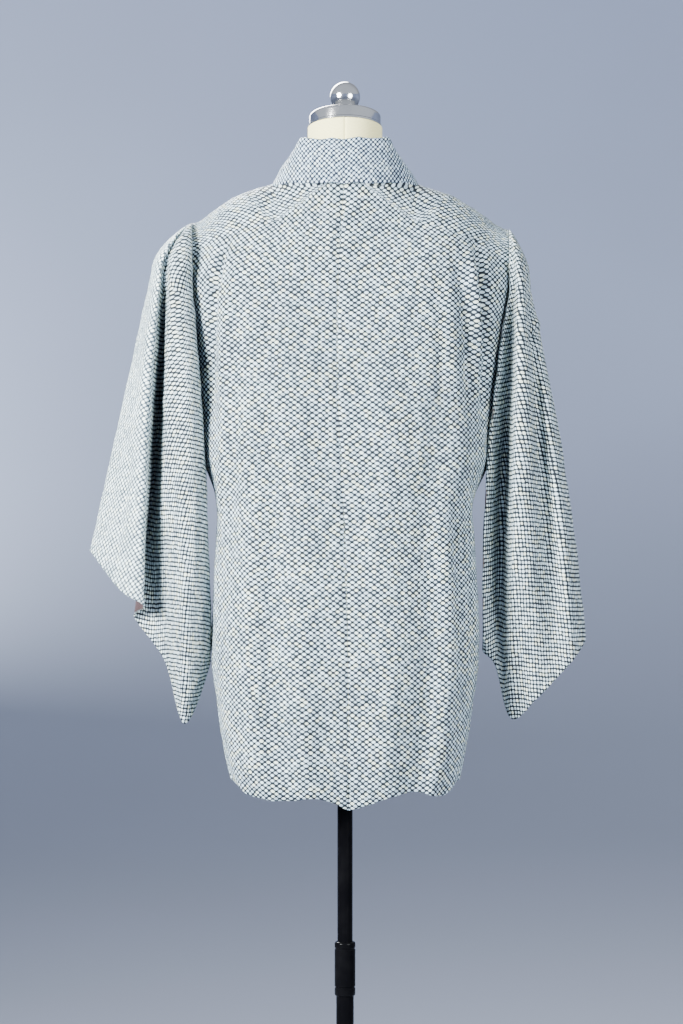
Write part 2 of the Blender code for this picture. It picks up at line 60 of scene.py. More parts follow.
def along(stations, key):
    # smooth value through (key, value) stations in rising order
    if key <= stations[0][0]:
        return stations[0][1]
    if key >= stations[-1][0]:
        return stations[-1][1]
    i = 0
    while stations[i + 1][0] < key:
        i += 1
    before = stations[max(i - 1, 0)]
    start, end = stations[i], stations[i + 1]
    after = stations[min(i + 2, len(stations) - 1)]
    span = end[0] - start[0]
    t = (key - start[0]) / span
    slopeIn = (end[1] - before[1]) / (end[0] - before[0]) * span
    slopeOut = (after[1] - start[1]) / (after[0] - start[0]) * span
    return (start[1] * (2 * t ** 3 - 3 * t ** 2 + 1) + slopeIn * (t ** 3 - 2 * t ** 2 + t)
            + end[1] * (3 * t ** 2 - 2 * t ** 3) + slopeOut * (t ** 3 - t ** 2))


def steps(start, end, count):
    return [mix(start, end, i / count) for i in range(count)]


# Shader helpers

def addNode(tree, kind, inputs=None, **settings):
    made = tree.nodes.new(kind)
    for key, value in settings.items():
        setattr(made, key, value)
    for key, value in (inputs or {}).items():
        if isinstance(value, bpy.types.NodeSocket):
            tree.links.new(value, made.inputs[key])
        else:
            made.inputs[key].default_value = value
    return made


def maths(tree, operation, a, b=0.5, clamp=False):
    return addNode(tree, "ShaderNodeMath", {0: a, 1: b}, operation=operation,
                   use_clamp=clamp).outputs[0]


def vectorMaths(tree, operation, a, b=(0.0, 0.0, 0.0)):
    return addNode(tree, "ShaderNodeVectorMath", {0: a, 1: b}, operation=operation).outputs[0]


def scaled(tree, vector, amount):
    return addNode(tree, "ShaderNodeVectorMath", {0: vector, "Scale": amount},
                   operation="SCALE").outputs[0]


def mapped(tree, value, low, high, toLow=0.0, toHigh=1.0):
    return addNode(tree, "ShaderNodeMapRange",
                   {"Value": value, "From Min": low, "From Max": high, "To Min": toLow,
                    "To Max": toHigh}, interpolation_type="SMOOTHSTEP").outputs[0]


def mixColour(tree, factor, a, b, blend="MIX"):
    made = tree.nodes.new("ShaderNodeMix")
    made.data_type = "RGBA"
    made.blend_type = blend
    for socket, value in ((made.inputs[0], factor), (made.inputs[6], a), (made.inputs[7], b)):
        if isinstance(value, bpy.types.NodeSocket):
            tree.links.new(value, socket)
        elif isinstance(value, tuple):
            socket.default_value = (*value, 1.0)
        else:
            socket.default_value = value
    return made.outputs[2]


def newGroup(name, inputs, outputs):
    group = bpy.data.node_groups.new(name, "ShaderNodeTree")
    for label, value in inputs.items():
        kind = "NodeSocketVector" if value is None else "NodeSocketFloat"
        socket = group.interface.new_socket(label, in_out="INPUT", socket_type=kind)
        if value is not None:
            socket.default_value = value
    for label in outputs:
        group.interface.new_socket(label, in_out="OUTPUT", socket_type="NodeSocketFloat")
    entry = group.nodes.new("NodeGroupInput")
    leave = group.nodes.new("NodeGroupOutput")
    return group, entry, leave


def useGroup(tree, group, **inputs):
    made = tree.nodes.new("ShaderNodeGroup")
    made.node_tree = group
    for key, value in inputs.items():
        if isinstance(value, bpy.types.NodeSocket):
            tree.links.new(value, made.inputs[key])
        else:
            made.inputs[key].default_value = value
    return made


def newMaterial(name, roughness, **sockets):
    material = bpy.data.materials.new(name)
    material.use_nodes = True
    shader = material.node_tree.nodes["Principled BSDF"]
    shader.inputs["Roughness"].default_value = roughness
    for key, value in sockets.items():
        shader.inputs[key].default_value = value
    return material, material.node_tree, shader


# Tied dots: one small gathered cell for each dot, with dark cloth between cells

def buildTiedDots():
    group, entry, leave = newGroup(
        "tiedDots", {"Vector": None, "Pitch": 0.005, "Wander": 0.5, "Gap": 0.16, "Knot": 0.6},
        ("Light", "Shade", "Height"))
    cells = scaled(group, entry.outputs["Vector"], maths(group, "DIVIDE", 1.0, entry.outputs["Pitch"]))
    drift = addNode(group, "ShaderNodeTexNoise", {"Vector": cells, "Scale": 0.30, "Detail": 2.5})
    push = vectorMaths(group, "SUBTRACT", drift.outputs["Color"], (0.5, 0.5, 0.5))
    cells = vectorMaths(group, "ADD", cells, scaled(group, push, entry.outputs["Wander"]))
    number = addNode(group, "ShaderNodeTexWhiteNoise", {"Vector": vectorMaths(group, "FLOOR", cells)},
                     noise_dimensions="2D")
    chance = addNode(group, "ShaderNodeSeparateColor", {"Color": number.outputs["Color"]})
    inside = vectorMaths(group, "SUBTRACT", vectorMaths(group, "FRACTION", cells), (0.5, 0.5, 0.0))
    off = vectorMaths(group, "SUBTRACT", number.outputs["Color"], (0.5, 0.5, 0.5))
    inside = vectorMaths(group, "ADD", inside, scaled(group, off, 0.13))
    axes = addNode(group, "ShaderNodeSeparateXYZ", {"Vector": inside})
    sideways = maths(group, "ABSOLUTE", axes.outputs["X"])
    lengthways = maths(group, "ABSOLUTE", axes.outputs["Y"])
    across = maths(group, "POWER", sideways, 2.4)
    down = maths(group, "POWER", maths(group, "MULTIPLY", lengthways, 1.05), 2.4)
    radius = maths(group, "POWER", maths(group, "ADD", across, down), 1 / 2.4)
    toCorner = addNode(group, "ShaderNodeCombineXYZ", {"X": maths(group, "SUBTRACT", 0.5, sideways),
                                                       "Y": maths(group, "SUBTRACT", 0.5, lengthways)})
    toCornerLength = addNode(group, "ShaderNodeVectorMath", {0: toCorner.outputs[0]}, operation="LENGTH")
    corner = toCornerLength.outputs["Value"]
    crossing = mapped(group, corner, 0.12, 0.34)
    gap = maths(group, "MULTIPLY", entry.outputs["Gap"],
                maths(group, "ADD", chance.outputs["Green"], 0.5))
    rim = maths(group, "SUBTRACT", 0.455, gap)
    cell = maths(group, "SUBTRACT", 1.0, mapped(group, maths(group, "SUBTRACT", radius, rim), -0.05, 0.05))
    hole = mapped(group, radius, 0.02, 0.16, 1.0, 0.0)
    knotted = maths(group, "MULTIPLY", entry.outputs["Knot"],
                    mapped(group, chance.outputs["Blue"], 0.25, 0.8))
    hole = maths(group, "MULTIPLY", hole, knotted)
    cell = maths(group, "MULTIPLY", maths(group, "ADD", maths(group, "MULTIPLY", cell, 0.97), 0.03), crossing)
    light = maths(group, "MULTIPLY", cell, maths(group, "SUBTRACT", 1.0, hole))
    swell = maths(group, "SUBTRACT", 1.0, maths(group, "MULTIPLY", radius, radius))
    group.links.new(light, leave.inputs["Light"])
    group.links.new(number.outputs["Value"], leave.inputs["Shade"])
    group.links.new(maths(group, "SUBTRACT", maths(group, "MULTIPLY", cell, swell),
                          maths(group, "MULTIPLY", hole, 0.4)), leave.inputs["Height"])
    return group


# Plain weave: threads crossing over and under, with thicker and thinner stretches

def buildPlainWeave():
    group, entry, leave = newGroup("plainWeave", {"Vector": None, "Pitch": 0.0007, "Slub": 0.5},
                                   ("Thread", "Shade", "Height"))
    turns = scaled(group, entry.outputs["Vector"], maths(group, "DIVIDE", math.pi, entry.outputs["Pitch"]))
    axes = addNode(group, "ShaderNodeSeparateXYZ", {"Vector": turns})
    warp = maths(group, "SINE", axes.outputs["X"])
    weft = maths(group, "SINE", axes.outputs["Y"])
    over = maths(group, "MULTIPLY", warp, weft)
    stretched = vectorMaths(group, "MULTIPLY", turns, (0.33, 0.012, 0.0))
    crossing = vectorMaths(group, "MULTIPLY", turns, (0.012, 0.33, 0.0))
    thick = addNode(group, "ShaderNodeTexNoise", {"Vector": stretched, "Scale": 1.0, "Detail": 2.0})
    thin = addNode(group, "ShaderNodeTexNoise", {"Vector": crossing, "Scale": 1.0, "Detail": 2.0})
    slub = maths(group, "MULTIPLY", maths(group, "ADD", thick.outputs["Fac"], thin.outputs["Fac"]),
                 entry.outputs["Slub"])
    group.links.new(mapped(group, over, -0.8, 0.9), leave.inputs["Thread"])
    group.links.new(slub, leave.inputs["Shade"])
    group.links.new(maths(group, "ADD", maths(group, "MULTIPLY", over, 0.5), slub), leave.inputs["Height"])
    return group


# Handling marks: smudges and hair scratches on hard finishes

def buildHandling():
    group, entry, leave = newGroup("handling", {"Vector": None, "Size": 40.0, "Peel": 900.0},
                                   ("Smudge", "Scratch", "Height"))
    smudge = addNode(group, "ShaderNodeTexNoise",
                     {"Vector": entry.outputs["Vector"], "Scale": entry.outputs["Size"], "Detail": 5.0})
    drawn = vectorMaths(group, "MULTIPLY", entry.outputs["Vector"], (1.0, 1.0, 0.04))
    scratch = addNode(group, "ShaderNodeTexNoise",
                      {"Vector": drawn, "Scale": entry.outputs["Peel"], "Detail": 3.0})
    peel = addNode(group, "ShaderNodeTexNoise",
                   {"Vector": entry.outputs["Vector"], "Scale": entry.outputs["Peel"], "Detail": 1.0})
    group.links.new(mapped(group, smudge.outputs["Fac"], 0.35, 0.75), leave.inputs["Smudge"])
    group.links.new(mapped(group, scratch.outputs["Fac"], 0.62, 0.70), leave.inputs["Scratch"])
    group.links.new(peel.outputs["Fac"], leave.inputs["Height"])
    return group


tiedDots = buildTiedDots()
plainWeave = buildPlainWeave()
handling = buildHandling()

bodySilk = {"pale": (0.60, 0.77, 0.88), "warm": (0.62, 0.69, 0.58), "dark": (0.002, 0.0045, 0.009),
            "gap": 0.10, "knot": 0.55, "wander": 0.55}
sleeveSilk = {"pale": (0.62, 0.77, 0.84), "warm": (0.62, 0.68, 0.58), "dark": (0.002, 0.0045, 0.008),
              "gap": 0.10, "knot": 0.45, "wander": 0.45}
# a lighter copy of the sleeve silk for the left sleeve's outer fold: painted light where the key lamp falls
paintedLightFoldSilk = {"pale": (0.76, 0.94, 0.99), "warm": (0.74, 0.86, 0.80), "dark": (0.03, 0.045, 0.06),
              "gap": 0.08, "knot": 0.45, "wander": 0.45}
collarBand = {"pale": (0.58, 0.76, 0.93), "warm": (0.60, 0.72, 0.76), "dark": (0.003, 0.007, 0.018),
              "gap": 0.10, "knot": 0.50, "wander": 0.50}


def dottedSilk(name, cloth):
    material, tree, shader = newMaterial(name, 0.6)
    shader.inputs["Specular IOR Level"].default_value = 0.22
    laid = addNode(tree, "ShaderNodeUVMap", uv_map="cloth").outputs["UV"]
    place = addNode(tree, "ShaderNodeTexCoord").outputs["Object"]
    dots = useGroup(tree, tiedDots, Vector=laid, Pitch=0.005, Wander=cloth["wander"],
                    Gap=cloth["gap"], Knot=cloth["knot"])
    drift = addNode(tree, "ShaderNodeTexNoise", {"Vector": place, "Scale": 16.0, "Detail": 3.0})
    patch = mapped(tree, drift.outputs["Fac"], 0.30, 0.70)
    tint = mixColour(tree, mapped(tree, dots.outputs["Shade"], 0.55, 1.0), cloth["pale"], cloth["warm"])
    level = mapped(tree, dots.outputs["Shade"], 0.0, 1.0, 0.62, 1.08)
    level = maths(tree, "MULTIPLY", level, maths(tree, "ADD", maths(tree, "MULTIPLY", patch, 0.16), 0.88))
    bright = mixColour(tree, 1.0, tint, addNode(tree, "ShaderNodeCombineColor",
                       {"Red": level, "Green": level, "Blue": level}).outputs["Color"], "MULTIPLY")
    colour = mixColour(tree, dots.outputs["Light"], cloth["dark"], bright)
    tree.links.new(colour, shader.inputs["Base Color"])
    tree.links.new(mapped(tree, dots.outputs["Light"], 0.0, 1.0, 0.78, 0.52), shader.inputs["Roughness"])
    crepe = addNode(tree, "ShaderNodeTexNoise", {"Vector": place, "Scale": 1300.0, "Detail": 2.0})
    grain = addNode(tree, "ShaderNodeBump", {"Height": crepe.outputs["Fac"], "Strength": 0.25,
                                             "Distance": 0.0003})
    relief = addNode(tree, "ShaderNodeBump", {"Height": dots.outputs["Height"], "Strength": 0.55,
                                              "Distance": 0.0011, "Normal": grain.outputs["Normal"]})
    tree.links.new(relief.outputs["Normal"], shader.inputs["Normal"])
    return material


def wovenCloth(name, base, deep, pitch, slub, roughness, relief):
    material, tree, shader = newMaterial(name, roughness)
    shader.inputs["Sheen Weight"].default_value = 0.15
    laid = addNode(tree, "ShaderNodeUVMap", uv_map="cloth").outputs["UV"]
    place = addNode(tree, "ShaderNodeTexCoord").outputs["Object"]
    weave = useGroup(tree, plainWeave, Vector=laid, Pitch=pitch, Slub=slub)
    blotch = addNode(tree, "ShaderNodeTexNoise", {"Vector": place, "Scale": 22.0, "Detail": 4.0})
    worn = mapped(tree, blotch.outputs["Fac"], 0.35, 0.75, 0.0, 0.30)
    colour = mixColour(tree, weave.outputs["Thread"], deep, base)
    colour = mixColour(tree, maths(tree, "MULTIPLY", weave.outputs["Shade"], 0.35, True), colour, deep)
    colour = mixColour(tree, worn, colour, tuple(0.75 * c for c in base))
    tree.links.new(colour, shader.inputs["Base Color"])
    tree.links.new(mapped(tree, weave.outputs["Thread"], 0.0, 1.0, roughness + 0.1, roughness - 0.05),
                   shader.inputs["Roughness"])
    bump = addNode(tree, "ShaderNodeBump", {"Height": weave.outputs["Height"], "Strength": 0.5,
                                            "Distance": relief})
    tree.links.new(bump.outputs["Normal"], shader.inputs["Normal"])
    return material


def hardFinish(name, base, smudged, roughness, worn, **sockets):
    material, tree, shader = newMaterial(name, roughness, **sockets)
    place = addNode(tree, "ShaderNodeTexCoord").outputs["Object"]
    marks = useGroup(tree, handling, Vector=place, Size=42.0, Peel=1100.0)
    colour = mixColour(tree, maths(tree, "MULTIPLY", marks.outputs["Smudge"], 0.5), base, smudged)
    tree.links.new(colour, shader.inputs["Base Color"])
    marked = maths(tree, "MULTIPLY", marks.outputs["Smudge"], worn)
    marked = maths(tree, "ADD", marked, maths(tree, "MULTIPLY", marks.outputs["Scratch"], worn))
    tree.links.new(maths(tree, "ADD", marked, roughness), shader.inputs["Roughness"])
    bump = addNode(tree, "ShaderNodeBump", {"Height": marks.outputs["Height"], "Strength": 0.12,
                                            "Distance": 0.0001})
    tree.links.new(bump.outputs["Normal"], shader.inputs["Normal"])
    return material


silkOnBody = dottedSilk("tied-dot silk", bodySilk)
silkOnSleeve = dottedSilk("tied-dot silk, sleeves", sleeveSilk)
# the outer fold's material is the lighter silk copy, with painted light
silkOnFoldPaintedLight = dottedSilk("tied-dot silk, outer fold, painted light", paintedLightFoldSilk)
silkOnCollar = dottedSilk("tied-dot silk, collar", collarBand)
liningSilk = wovenCloth("dark lining silk", (0.050, 0.018, 0.016), (0.016, 0.006, 0.006), 0.00045, 0.5,
                        0.42, 0.0001)
creamLinen = wovenCloth("cream linen", (0.92, 0.87, 0.46), (0.66, 0.60, 0.28), 0.00085, 0.6, 0.85, 0.00025)
polishedChrome = hardFinish("polished chrome", (0.78, 0.78, 0.77), (0.60, 0.60, 0.59), 0.06, 0.10,
                            Metallic=1.0)
blackEnamel = hardFinish("black enamel", (0.0015, 0.0015, 0.002), (0.004, 0.004, 0.0045), 0.12, 0.10)
chromeTree = polishedChrome.node_tree
chromeShader = chromeTree.nodes["Principled BSDF"]
# the chrome's base colour darkens towards grazing angles: a painted reflection of dark surroundings
grazingPaintedReflection = addNode(chromeTree, "ShaderNodeLayerWeight", {"Blend": 0.45}).outputs["Facing"]
chromeColour = chromeShader.inputs["Base Color"].links[0].from_socket
chromeTree.links.new(mixColour(chromeTree, mapped(chromeTree, grazingPaintedReflection, 0.25, 0.95), chromeColour,
                               (0.10, 0.085, 0.08)),
                     chromeShader.inputs["Base Color"])
blackEnamel.node_tree.nodes["Principled BSDF"].inputs["Specular IOR Level"].default_value = 0.04
print("materials made")


# Cloth grids

def gridOf(place, columns, rows):
    # an array of points, rows by columns
    return np.array([[place(column, row) for column in columns] for row in rows])


def gridNormals(grid):
    acrossWay = np.gradient(grid, axis=1)
    downWay = np.gradient(grid, axis=0)
    normals = np.cross(acrossWay, downWay)
    size = np.linalg.norm(normals, axis=2, keepdims=True)
    return normals / np.maximum(size, 1e-9)


def pointOutward(grid, normals, centre):
    away = (grid[..., 0] - centre[0]) * normals[..., 0] + (grid[..., 1] - centre[1]) * normals[..., 1]
    return normals if away.sum() > 0 else -normals


def runLength(grid, axis):
    # length of the cloth measured along the rows or the columns
    step = np.linalg.norm(np.diff(grid, axis=axis), axis=2)
    total = np.cumsum(step, axis=axis)
    start = np.zeros_like(np.take(total, [0], axis=axis))
    return np.concatenate([start, total], axis=axis)


def pathDistance(xs, zs, path):
    # distance to a line of (x, z) points, and how far along it
    best = np.full(xs.shape, 9.0)
    place = np.zeros(xs.shape)
    count = len(path) - 1
    for i in range(count):
        ax, az = path[i]
        bx, bz = path[i + 1]
        lengthSquared = (bx - ax) ** 2 + (bz - az) ** 2
        t = np.clip(((xs - ax) * (bx - ax) + (zs - az) * (bz - az)) / lengthSquared, 0, 1)
        distance = np.hypot(xs - ax - t * (bx - ax), zs - az - t * (bz - az))
        nearer = distance < best
        best = np.where(nearer, distance, best)
        place = np.where(nearer, (i + t) / count, place)
    return best, place


def creaseHeight(grid, chosen, creases):
    # soft ridges (above 0) and troughs (below 0) along listed lines
    total = np.zeros(grid.shape[:2])
    for path, height, halfWidth in creases:
        distance, place = pathDistance(grid[..., 0], grid[..., 2], path)
        fade = 1 - np.abs(2 * place - 1) ** 3
        total += height * np.exp(-(distance / halfWidth) ** 2) * fade
    return total * chosen


def puckers(acrossRun, downRun, size, seed):
    # fine unevenness of gathered cloth, between -1 and 1
    out = np.empty(acrossRun.shape)
    for index in np.ndindex(acrossRun.shape):
        spot = Vector((acrossRun[index] / size, downRun[index] / size, seed))
        out[index] = noise.noise(spot) + 0.4 * noise.noise(spot * 2.3)
    return out


def clothMesh(name, grid, laid, materials, pick=None, thickness=0.0014, outward=None, finish=None):
    # laid holds the flat place of every grid point, in metres
    rows, columns = grid.shape[:2]
    cloth = bmesh.new()
    bmesh.ops.create_grid(cloth, x_segments=columns - 1, y_segments=rows - 1, size=0.5)
    slots = {}
    for vert in cloth.verts:
        column = round((vert.co.x + 0.5) * (columns - 1))
        row = round((vert.co.y + 0.5) * (rows - 1))
        slots[vert.index] = (row, column)
        vert.co = grid[row, column]
    layer = cloth.loops.layers.uv.new("cloth")
    for face in cloth.faces:
        places = [slots[loop.vert.index] for loop in face.loops]
        column = min(p[1] for p in places)
        row = min(p[0] for p in places)
        zone = pick(row, column) if pick else 0
        face.material_index = zone
        for loop, p in zip(face.loops, places):
            loop[layer].uv = laid[zone][p] if isinstance(laid, dict) else laid[p]
    if finish:
        finish(cloth)
    cloth.normal_update()
    total = 0.0
    for face in cloth.faces:
        middle = face.calc_center_median()
        way = outward(middle)
        total += face.calc_area() * face.normal.dot(way)
    if total < 0:
        bmesh.ops.reverse_faces(cloth, faces=cloth.faces)
    made = objectFrom(name, cloth, materials)
    wall = made.modifiers.new("wall", "SOLIDIFY")
    wall.thickness = thickness
    wall.offset = 0.0
    wall.material_offset = len(materials) - 1
    return made


def objectFrom(name, shape, materials, angle=None):
    mesh = bpy.data.meshes.new(name)
    shape.to_mesh(mesh)
    shape.free()
    for material in materials:
        mesh.materials.append(material)
    mesh.shade_smooth()
    if angle:
        mesh.set_sharp_from_angle(angle=math.radians(angle))
    made = bpy.data.objects.new(name, mesh)
    scene.collection.objects.link(made)
    return made


def diamondLattice(run, pitch=0.005, wide=0.0088, tall=0.0064):
    # cells stand on their corners: one cell is wide by tall
    u, v = run[..., 0] / wide, run[..., 1] / tall
    return np.stack([(u + v) * pitch, (u - v) * pitch], axis=-1)


def turnedLattice(run, degrees, pitch=0.005, wide=0.0050, tall=0.0053):
    c, s = math.cos(math.radians(degrees)), math.sin(math.radians(degrees))
    u = run[..., 0] * c + run[..., 1] * s
    v = run[..., 1] * c - run[..., 0] * s
    return np.stack([u / wide * pitch, v / tall * pitch], axis=-1)


# Sleeves: fifteen pleat lines from the shoulder to the hem. Each row gives x and
# y near the shoulder, half way and at the hem, then the height of the hem there.
sleeveCut = {
    "flat": (0.33, 0.96),
    "near": 0.15,
    "sewn": 3,
    "shoulder": {1: (0.191, 1.414), -1: (0.205, 1.406)},
    "lines": {
        1: [
            (0.190, 0.180, 0.178, 0.026, 0.006, 0.008, 0.872),
            (0.190, 0.175, 0.169, 0.044, 0.048, 0.014, 0.864),
            (0.200, 0.195, 0.200, 0.055, 0.060, 0.008, 0.790),
            (0.214, 0.221, 0.224, 0.052, 0.044, 0.010, 0.868),
            (0.224, 0.234, 0.262, 0.034, -0.010, 0.008, 0.922),
            (0.229, 0.242, 0.248, 0.042, 0.050, 0.044, 0.938),
            (0.236, 0.258, 0.278, 0.030, 0.036, 0.036, 0.958),
            (0.241, 0.273, 0.319, 0.000, -0.004, -0.008, 1.006),
            (0.235, 0.263, 0.292, -0.030, -0.052, -0.058, 0.968),
            (0.227, 0.245, 0.266, -0.047, -0.086, -0.084, 0.940),
            (0.217, 0.228, 0.248, -0.046, -0.032, -0.034, 0.915),
            (0.208, 0.212, 0.224, -0.053, -0.088, -0.006, 0.868),
            (0.199, 0.197, 0.200, -0.051, -0.050, -0.004, 0.790),
            (0.191, 0.181, 0.169, -0.044, -0.068, -0.006, 0.864),
            (0.190, 0.181, 0.178, -0.026, -0.012, -0.002, 0.872),
        ],
        -1: [
            (0.2040, 0.184, 0.182, 0.026, 0.002, 0.004, 0.900),
            (0.2045, 0.180, 0.172, 0.036, 0.030, 0.026, 0.882),
            (0.2095, 0.202, 0.188, 0.040, -0.004, 0.014, 0.862),
            (0.2145, 0.208, 0.207, 0.048, 0.054, 0.010, 0.797),
            (0.2195, 0.226, 0.236, 0.046, 0.054, 0.036, 0.822),
            (0.2240, 0.243, 0.262, 0.037, 0.026, 0.034, 0.849),
            (0.2290, 0.257, 0.284, 0.022, 0.034, 0.030, 0.873),
            (0.2320, 0.267, 0.301, 0.000, -0.002, -0.006, 0.895),
            (0.2290, 0.257, 0.286, -0.026, -0.050, -0.056, 0.880),
            (0.2240, 0.242, 0.262, -0.042, -0.084, -0.080, 0.856),
            (0.2180, 0.226, 0.236, -0.047, -0.034, -0.032, 0.830),
            (0.2120, 0.212, 0.207, -0.050, -0.084, -0.004, 0.797),
            (0.2070, 0.201, 0.188, -0.042, -0.042, 0.000, 0.862),
            (0.2050, 0.190, 0.172, -0.034, -0.066, -0.012, 0.882),
            (0.2040, 0.188, 0.182, -0.026, -0.020, -0.004, 0.900),
        ],
    },
    "creases": {
        1: [
            ([(0.2225, 1.375), (0.2200, 1.340), (0.2188, 1.300)], -0.0022, 0.0035),
            ([(0.2400, 1.290), (0.2480, 1.200), (0.2620, 1.100)], 0.0020, 0.0070),
            ([(0.2600, 1.150), (0.2740, 1.060), (0.2860, 0.985)], -0.0022, 0.0060),
            ([(0.2050, 1.260), (0.2080, 1.120), (0.2120, 0.950)], -0.0025, 0.0060),
            ([(0.1920, 1.240), (0.1880, 1.100), (0.1850, 0.930)], 0.0020, 0.0050),
        ],
        -1: [
            ([(-0.2420, 1.2790), (-0.2340, 1.2740), (-0.2275, 1.2600)], -0.0050, 0.0035),
            ([(-0.2440, 1.2900), (-0.2350, 1.2880), (-0.2260, 1.2800)], 0.0030, 0.0050),
            ([(-0.2150, 1.330), (-0.2200, 1.200), (-0.2260, 1.060)], 0.0022, 0.0060),
            ([(-0.2320, 1.200), (-0.2450, 1.060), (-0.2560, 0.920)], -0.0024, 0.0060),
            ([(-0.2480, 1.180), (-0.2640, 1.040), (-0.2760, 0.930)], 0.0020, 0.0055),
            ([(-0.1980, 1.180), (-0.1960, 1.020), (-0.1960, 0.880)], -0.0026, 0.0060),
        ],
    },
}


def throughThree(near, middle, far, t):
    a, b, c = sleeveCut["near"], 0.5, 1.0
    return (near * (t - b) * (t - c) / ((a - b) * (a - c))
            + middle * (t - a) * (t - c) / ((b - a) * (b - c))
            + far * (t - a) * (t - b) / ((c - a) * (c - b)))


def sleeveLine(side, number, t):
    x0, x1, x2, y0, y1, y2, hem = sleeveCut["lines"][side][number]
    shoulderX, shoulderZ = sleeveCut["shoulder"][side]
    near = sleeveCut["near"]
    below = max(t, near)
    x = throughThree(x0, x1, x2, below)
    y = throughThree(y0, y1, y2, below)
    if t < near:
        dome = max(0.0, 1 - (1 - t / near) ** 2)
        x = mix(shoulderX, x, dome ** 0.9)
        y *= math.sqrt(dome)
    return x, y, mix(shoulderZ, hem, t)


def sleevePoint(side, s, t):
    last = len(sleeveCut["lines"][side]) - 1
    place = s * last
    i = min(int(place), last - 1)
    f = place - i
    a, b, c, d = [sleeveLine(side, min(max(k, 0), last), t) for k in (i - 1, i, i + 1, i + 2)]
    point = [0.5 * (2 * b[k] + (c[k] - a[k]) * f + (2 * a[k] - 5 * b[k] + 4 * c[k] - d[k]) * f * f
                    + (3 * b[k] - a[k] - 3 * c[k] + d[k]) * f ** 3) for k in range(3)]
    return side * point[0], point[1], point[2]


def armhole(side, face, z):
    number = 0 if face == "back" else len(sleeveCut["lines"][side]) - 1
    hem = sleeveCut["lines"][side][number][-1]
    shoulderZ = sleeveCut["shoulder"][side][1]
    x, y, _ = sleeveLine(side, number, (shoulderZ - z) / (shoulderZ - hem))
    return x, y


def buildSleeve(side, name, node):
    perLine = 11
    last = len(sleeveCut["lines"][side]) - 1
    count = perLine * last
    columns = [i / count for i in range(count + 1)]
    near = sleeveCut["near"]
    dome = [near * (1 - math.cos(mix(math.radians(5), math.pi / 2, i / 14))) for i in range(14)]
    rows = dome + steps(near, 1.0, 112) + [1.0]
    grid = gridOf(lambda s, t: sleevePoint(side, s, t), columns, rows)
    depth = np.array(rows)[:, None]
    sewn = sleeveCut["sewn"] * perLine

    # the two layers meet along the sewn part of the bottom
    closing = np.clip((depth - 0.955) / 0.045, 0, 1) ** 1.5
    for i in range(sewn + 1):
        j = count - i
        open = ease((i - sewn + 10) / 10)
        middle = (grid[:, i, 1] + grid[:, j, 1]) / 2
        pull = closing[:, 0] * (1 - open)
        grid[:, i, 1] = mix(grid[:, i, 1], middle + 0.0009, pull)
        grid[:, j, 1] = mix(grid[:, j, 1], middle - 0.0009, pull)

    normals = pointOutward(grid, gridNormals(grid), (side * 0.215, 0.0))
    downRun = runLength(grid, 0)
    acrossRun = runLength(grid, 1)
    acrossRun = acrossRun - acrossRun[:, count // 2][:, None]
    run = np.stack([acrossRun, downRun], axis=-1)
    back = (np.arange(count + 1) <= count // 2)[None, :].astype(float)
    calm = np.clip(depth / 0.06, 0, 1) * (1 - closing)
    lift = creaseHeight(grid, back, sleeveCut["creases"][side])
    lift += creaseHeight(grid, 1 - back, sleeveCut["creases"][side][2:]) * 1.4
    ripple = np.sin(acrossRun / 0.0065 + 3 * depth + side) * 0.0011 * np.clip(depth * 2.2, 0, 1)
    lift += ripple * (0.35 + 1.1 * (1 - back))
    lift += 0.0011 * puckers(acrossRun, downRun * 0.6, 0.022, 3.0 + side)
    lift += 0.00045 * puckers(acrossRun, downRun, 0.0075, 7.0 + side)
    edge = np.minimum(np.arange(count + 1), count - np.arange(count + 1))[None, :]
    grid = grid + normals * (lift * calm)[..., None]
    grid = grid - normals * (0.0012 * np.exp(-(edge / 1.2) ** 2) * np.clip((depth - 0.05) / 0.1, 0,
                                                                           1))[..., None]

    upright = turnedLattice(run, 0)
    slanted = turnedLattice(run, 39 if side > 0 else 0, wide=0.0047, tall=0.0047)
    startFold, endFold = 5 * perLine - 2, 8 * perLine

    # zone 1, the left sleeve's outer fold, takes the slanted lattice and the lighter silk copy with painted
    # light
    def pick(row, column):
        return 1 if side > 0 and startFold <= column < endFold else 0

    def close(cloth):
        # the shoulder's tip, then the sewn bottom
        cloth.verts.ensure_lookup_table()
        bmesh.ops.contextual_create(cloth, geom=cloth.verts[:count + 1])
        hem = cloth.verts[-(count + 1):]
        backEdges = [cloth.edges.get((hem[i], hem[i + 1])) for i in range(sewn)]
        frontEdges = [cloth.edges.get((hem[-1 - i], hem[-2 - i])) for i in range(sewn)]
        bmesh.ops.bridge_loops(cloth, edges=backEdges + frontEdges)
        bmesh.ops.recalc_face_normals(cloth, faces=cloth.faces)

    outward = lambda p: Vector((p.x - side * 0.215, p.y, 0.0))
    made = clothMesh(name, grid, {0: upright, 1: slanted}, [silkOnSleeve, silkOnFoldPaintedLight, liningSilk],
                     pick, outward=outward, finish=close)
    made.modifiers["wall"].material_offset = 2
    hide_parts(node)
    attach(made, "form")
    return made


sleeveLeft = buildSleeve(1, "sleeveLeft", "sleeve_left")
sleeveRight = buildSleeve(-1, "sleeveRight", "sleeve_right")
print("sleeves made")


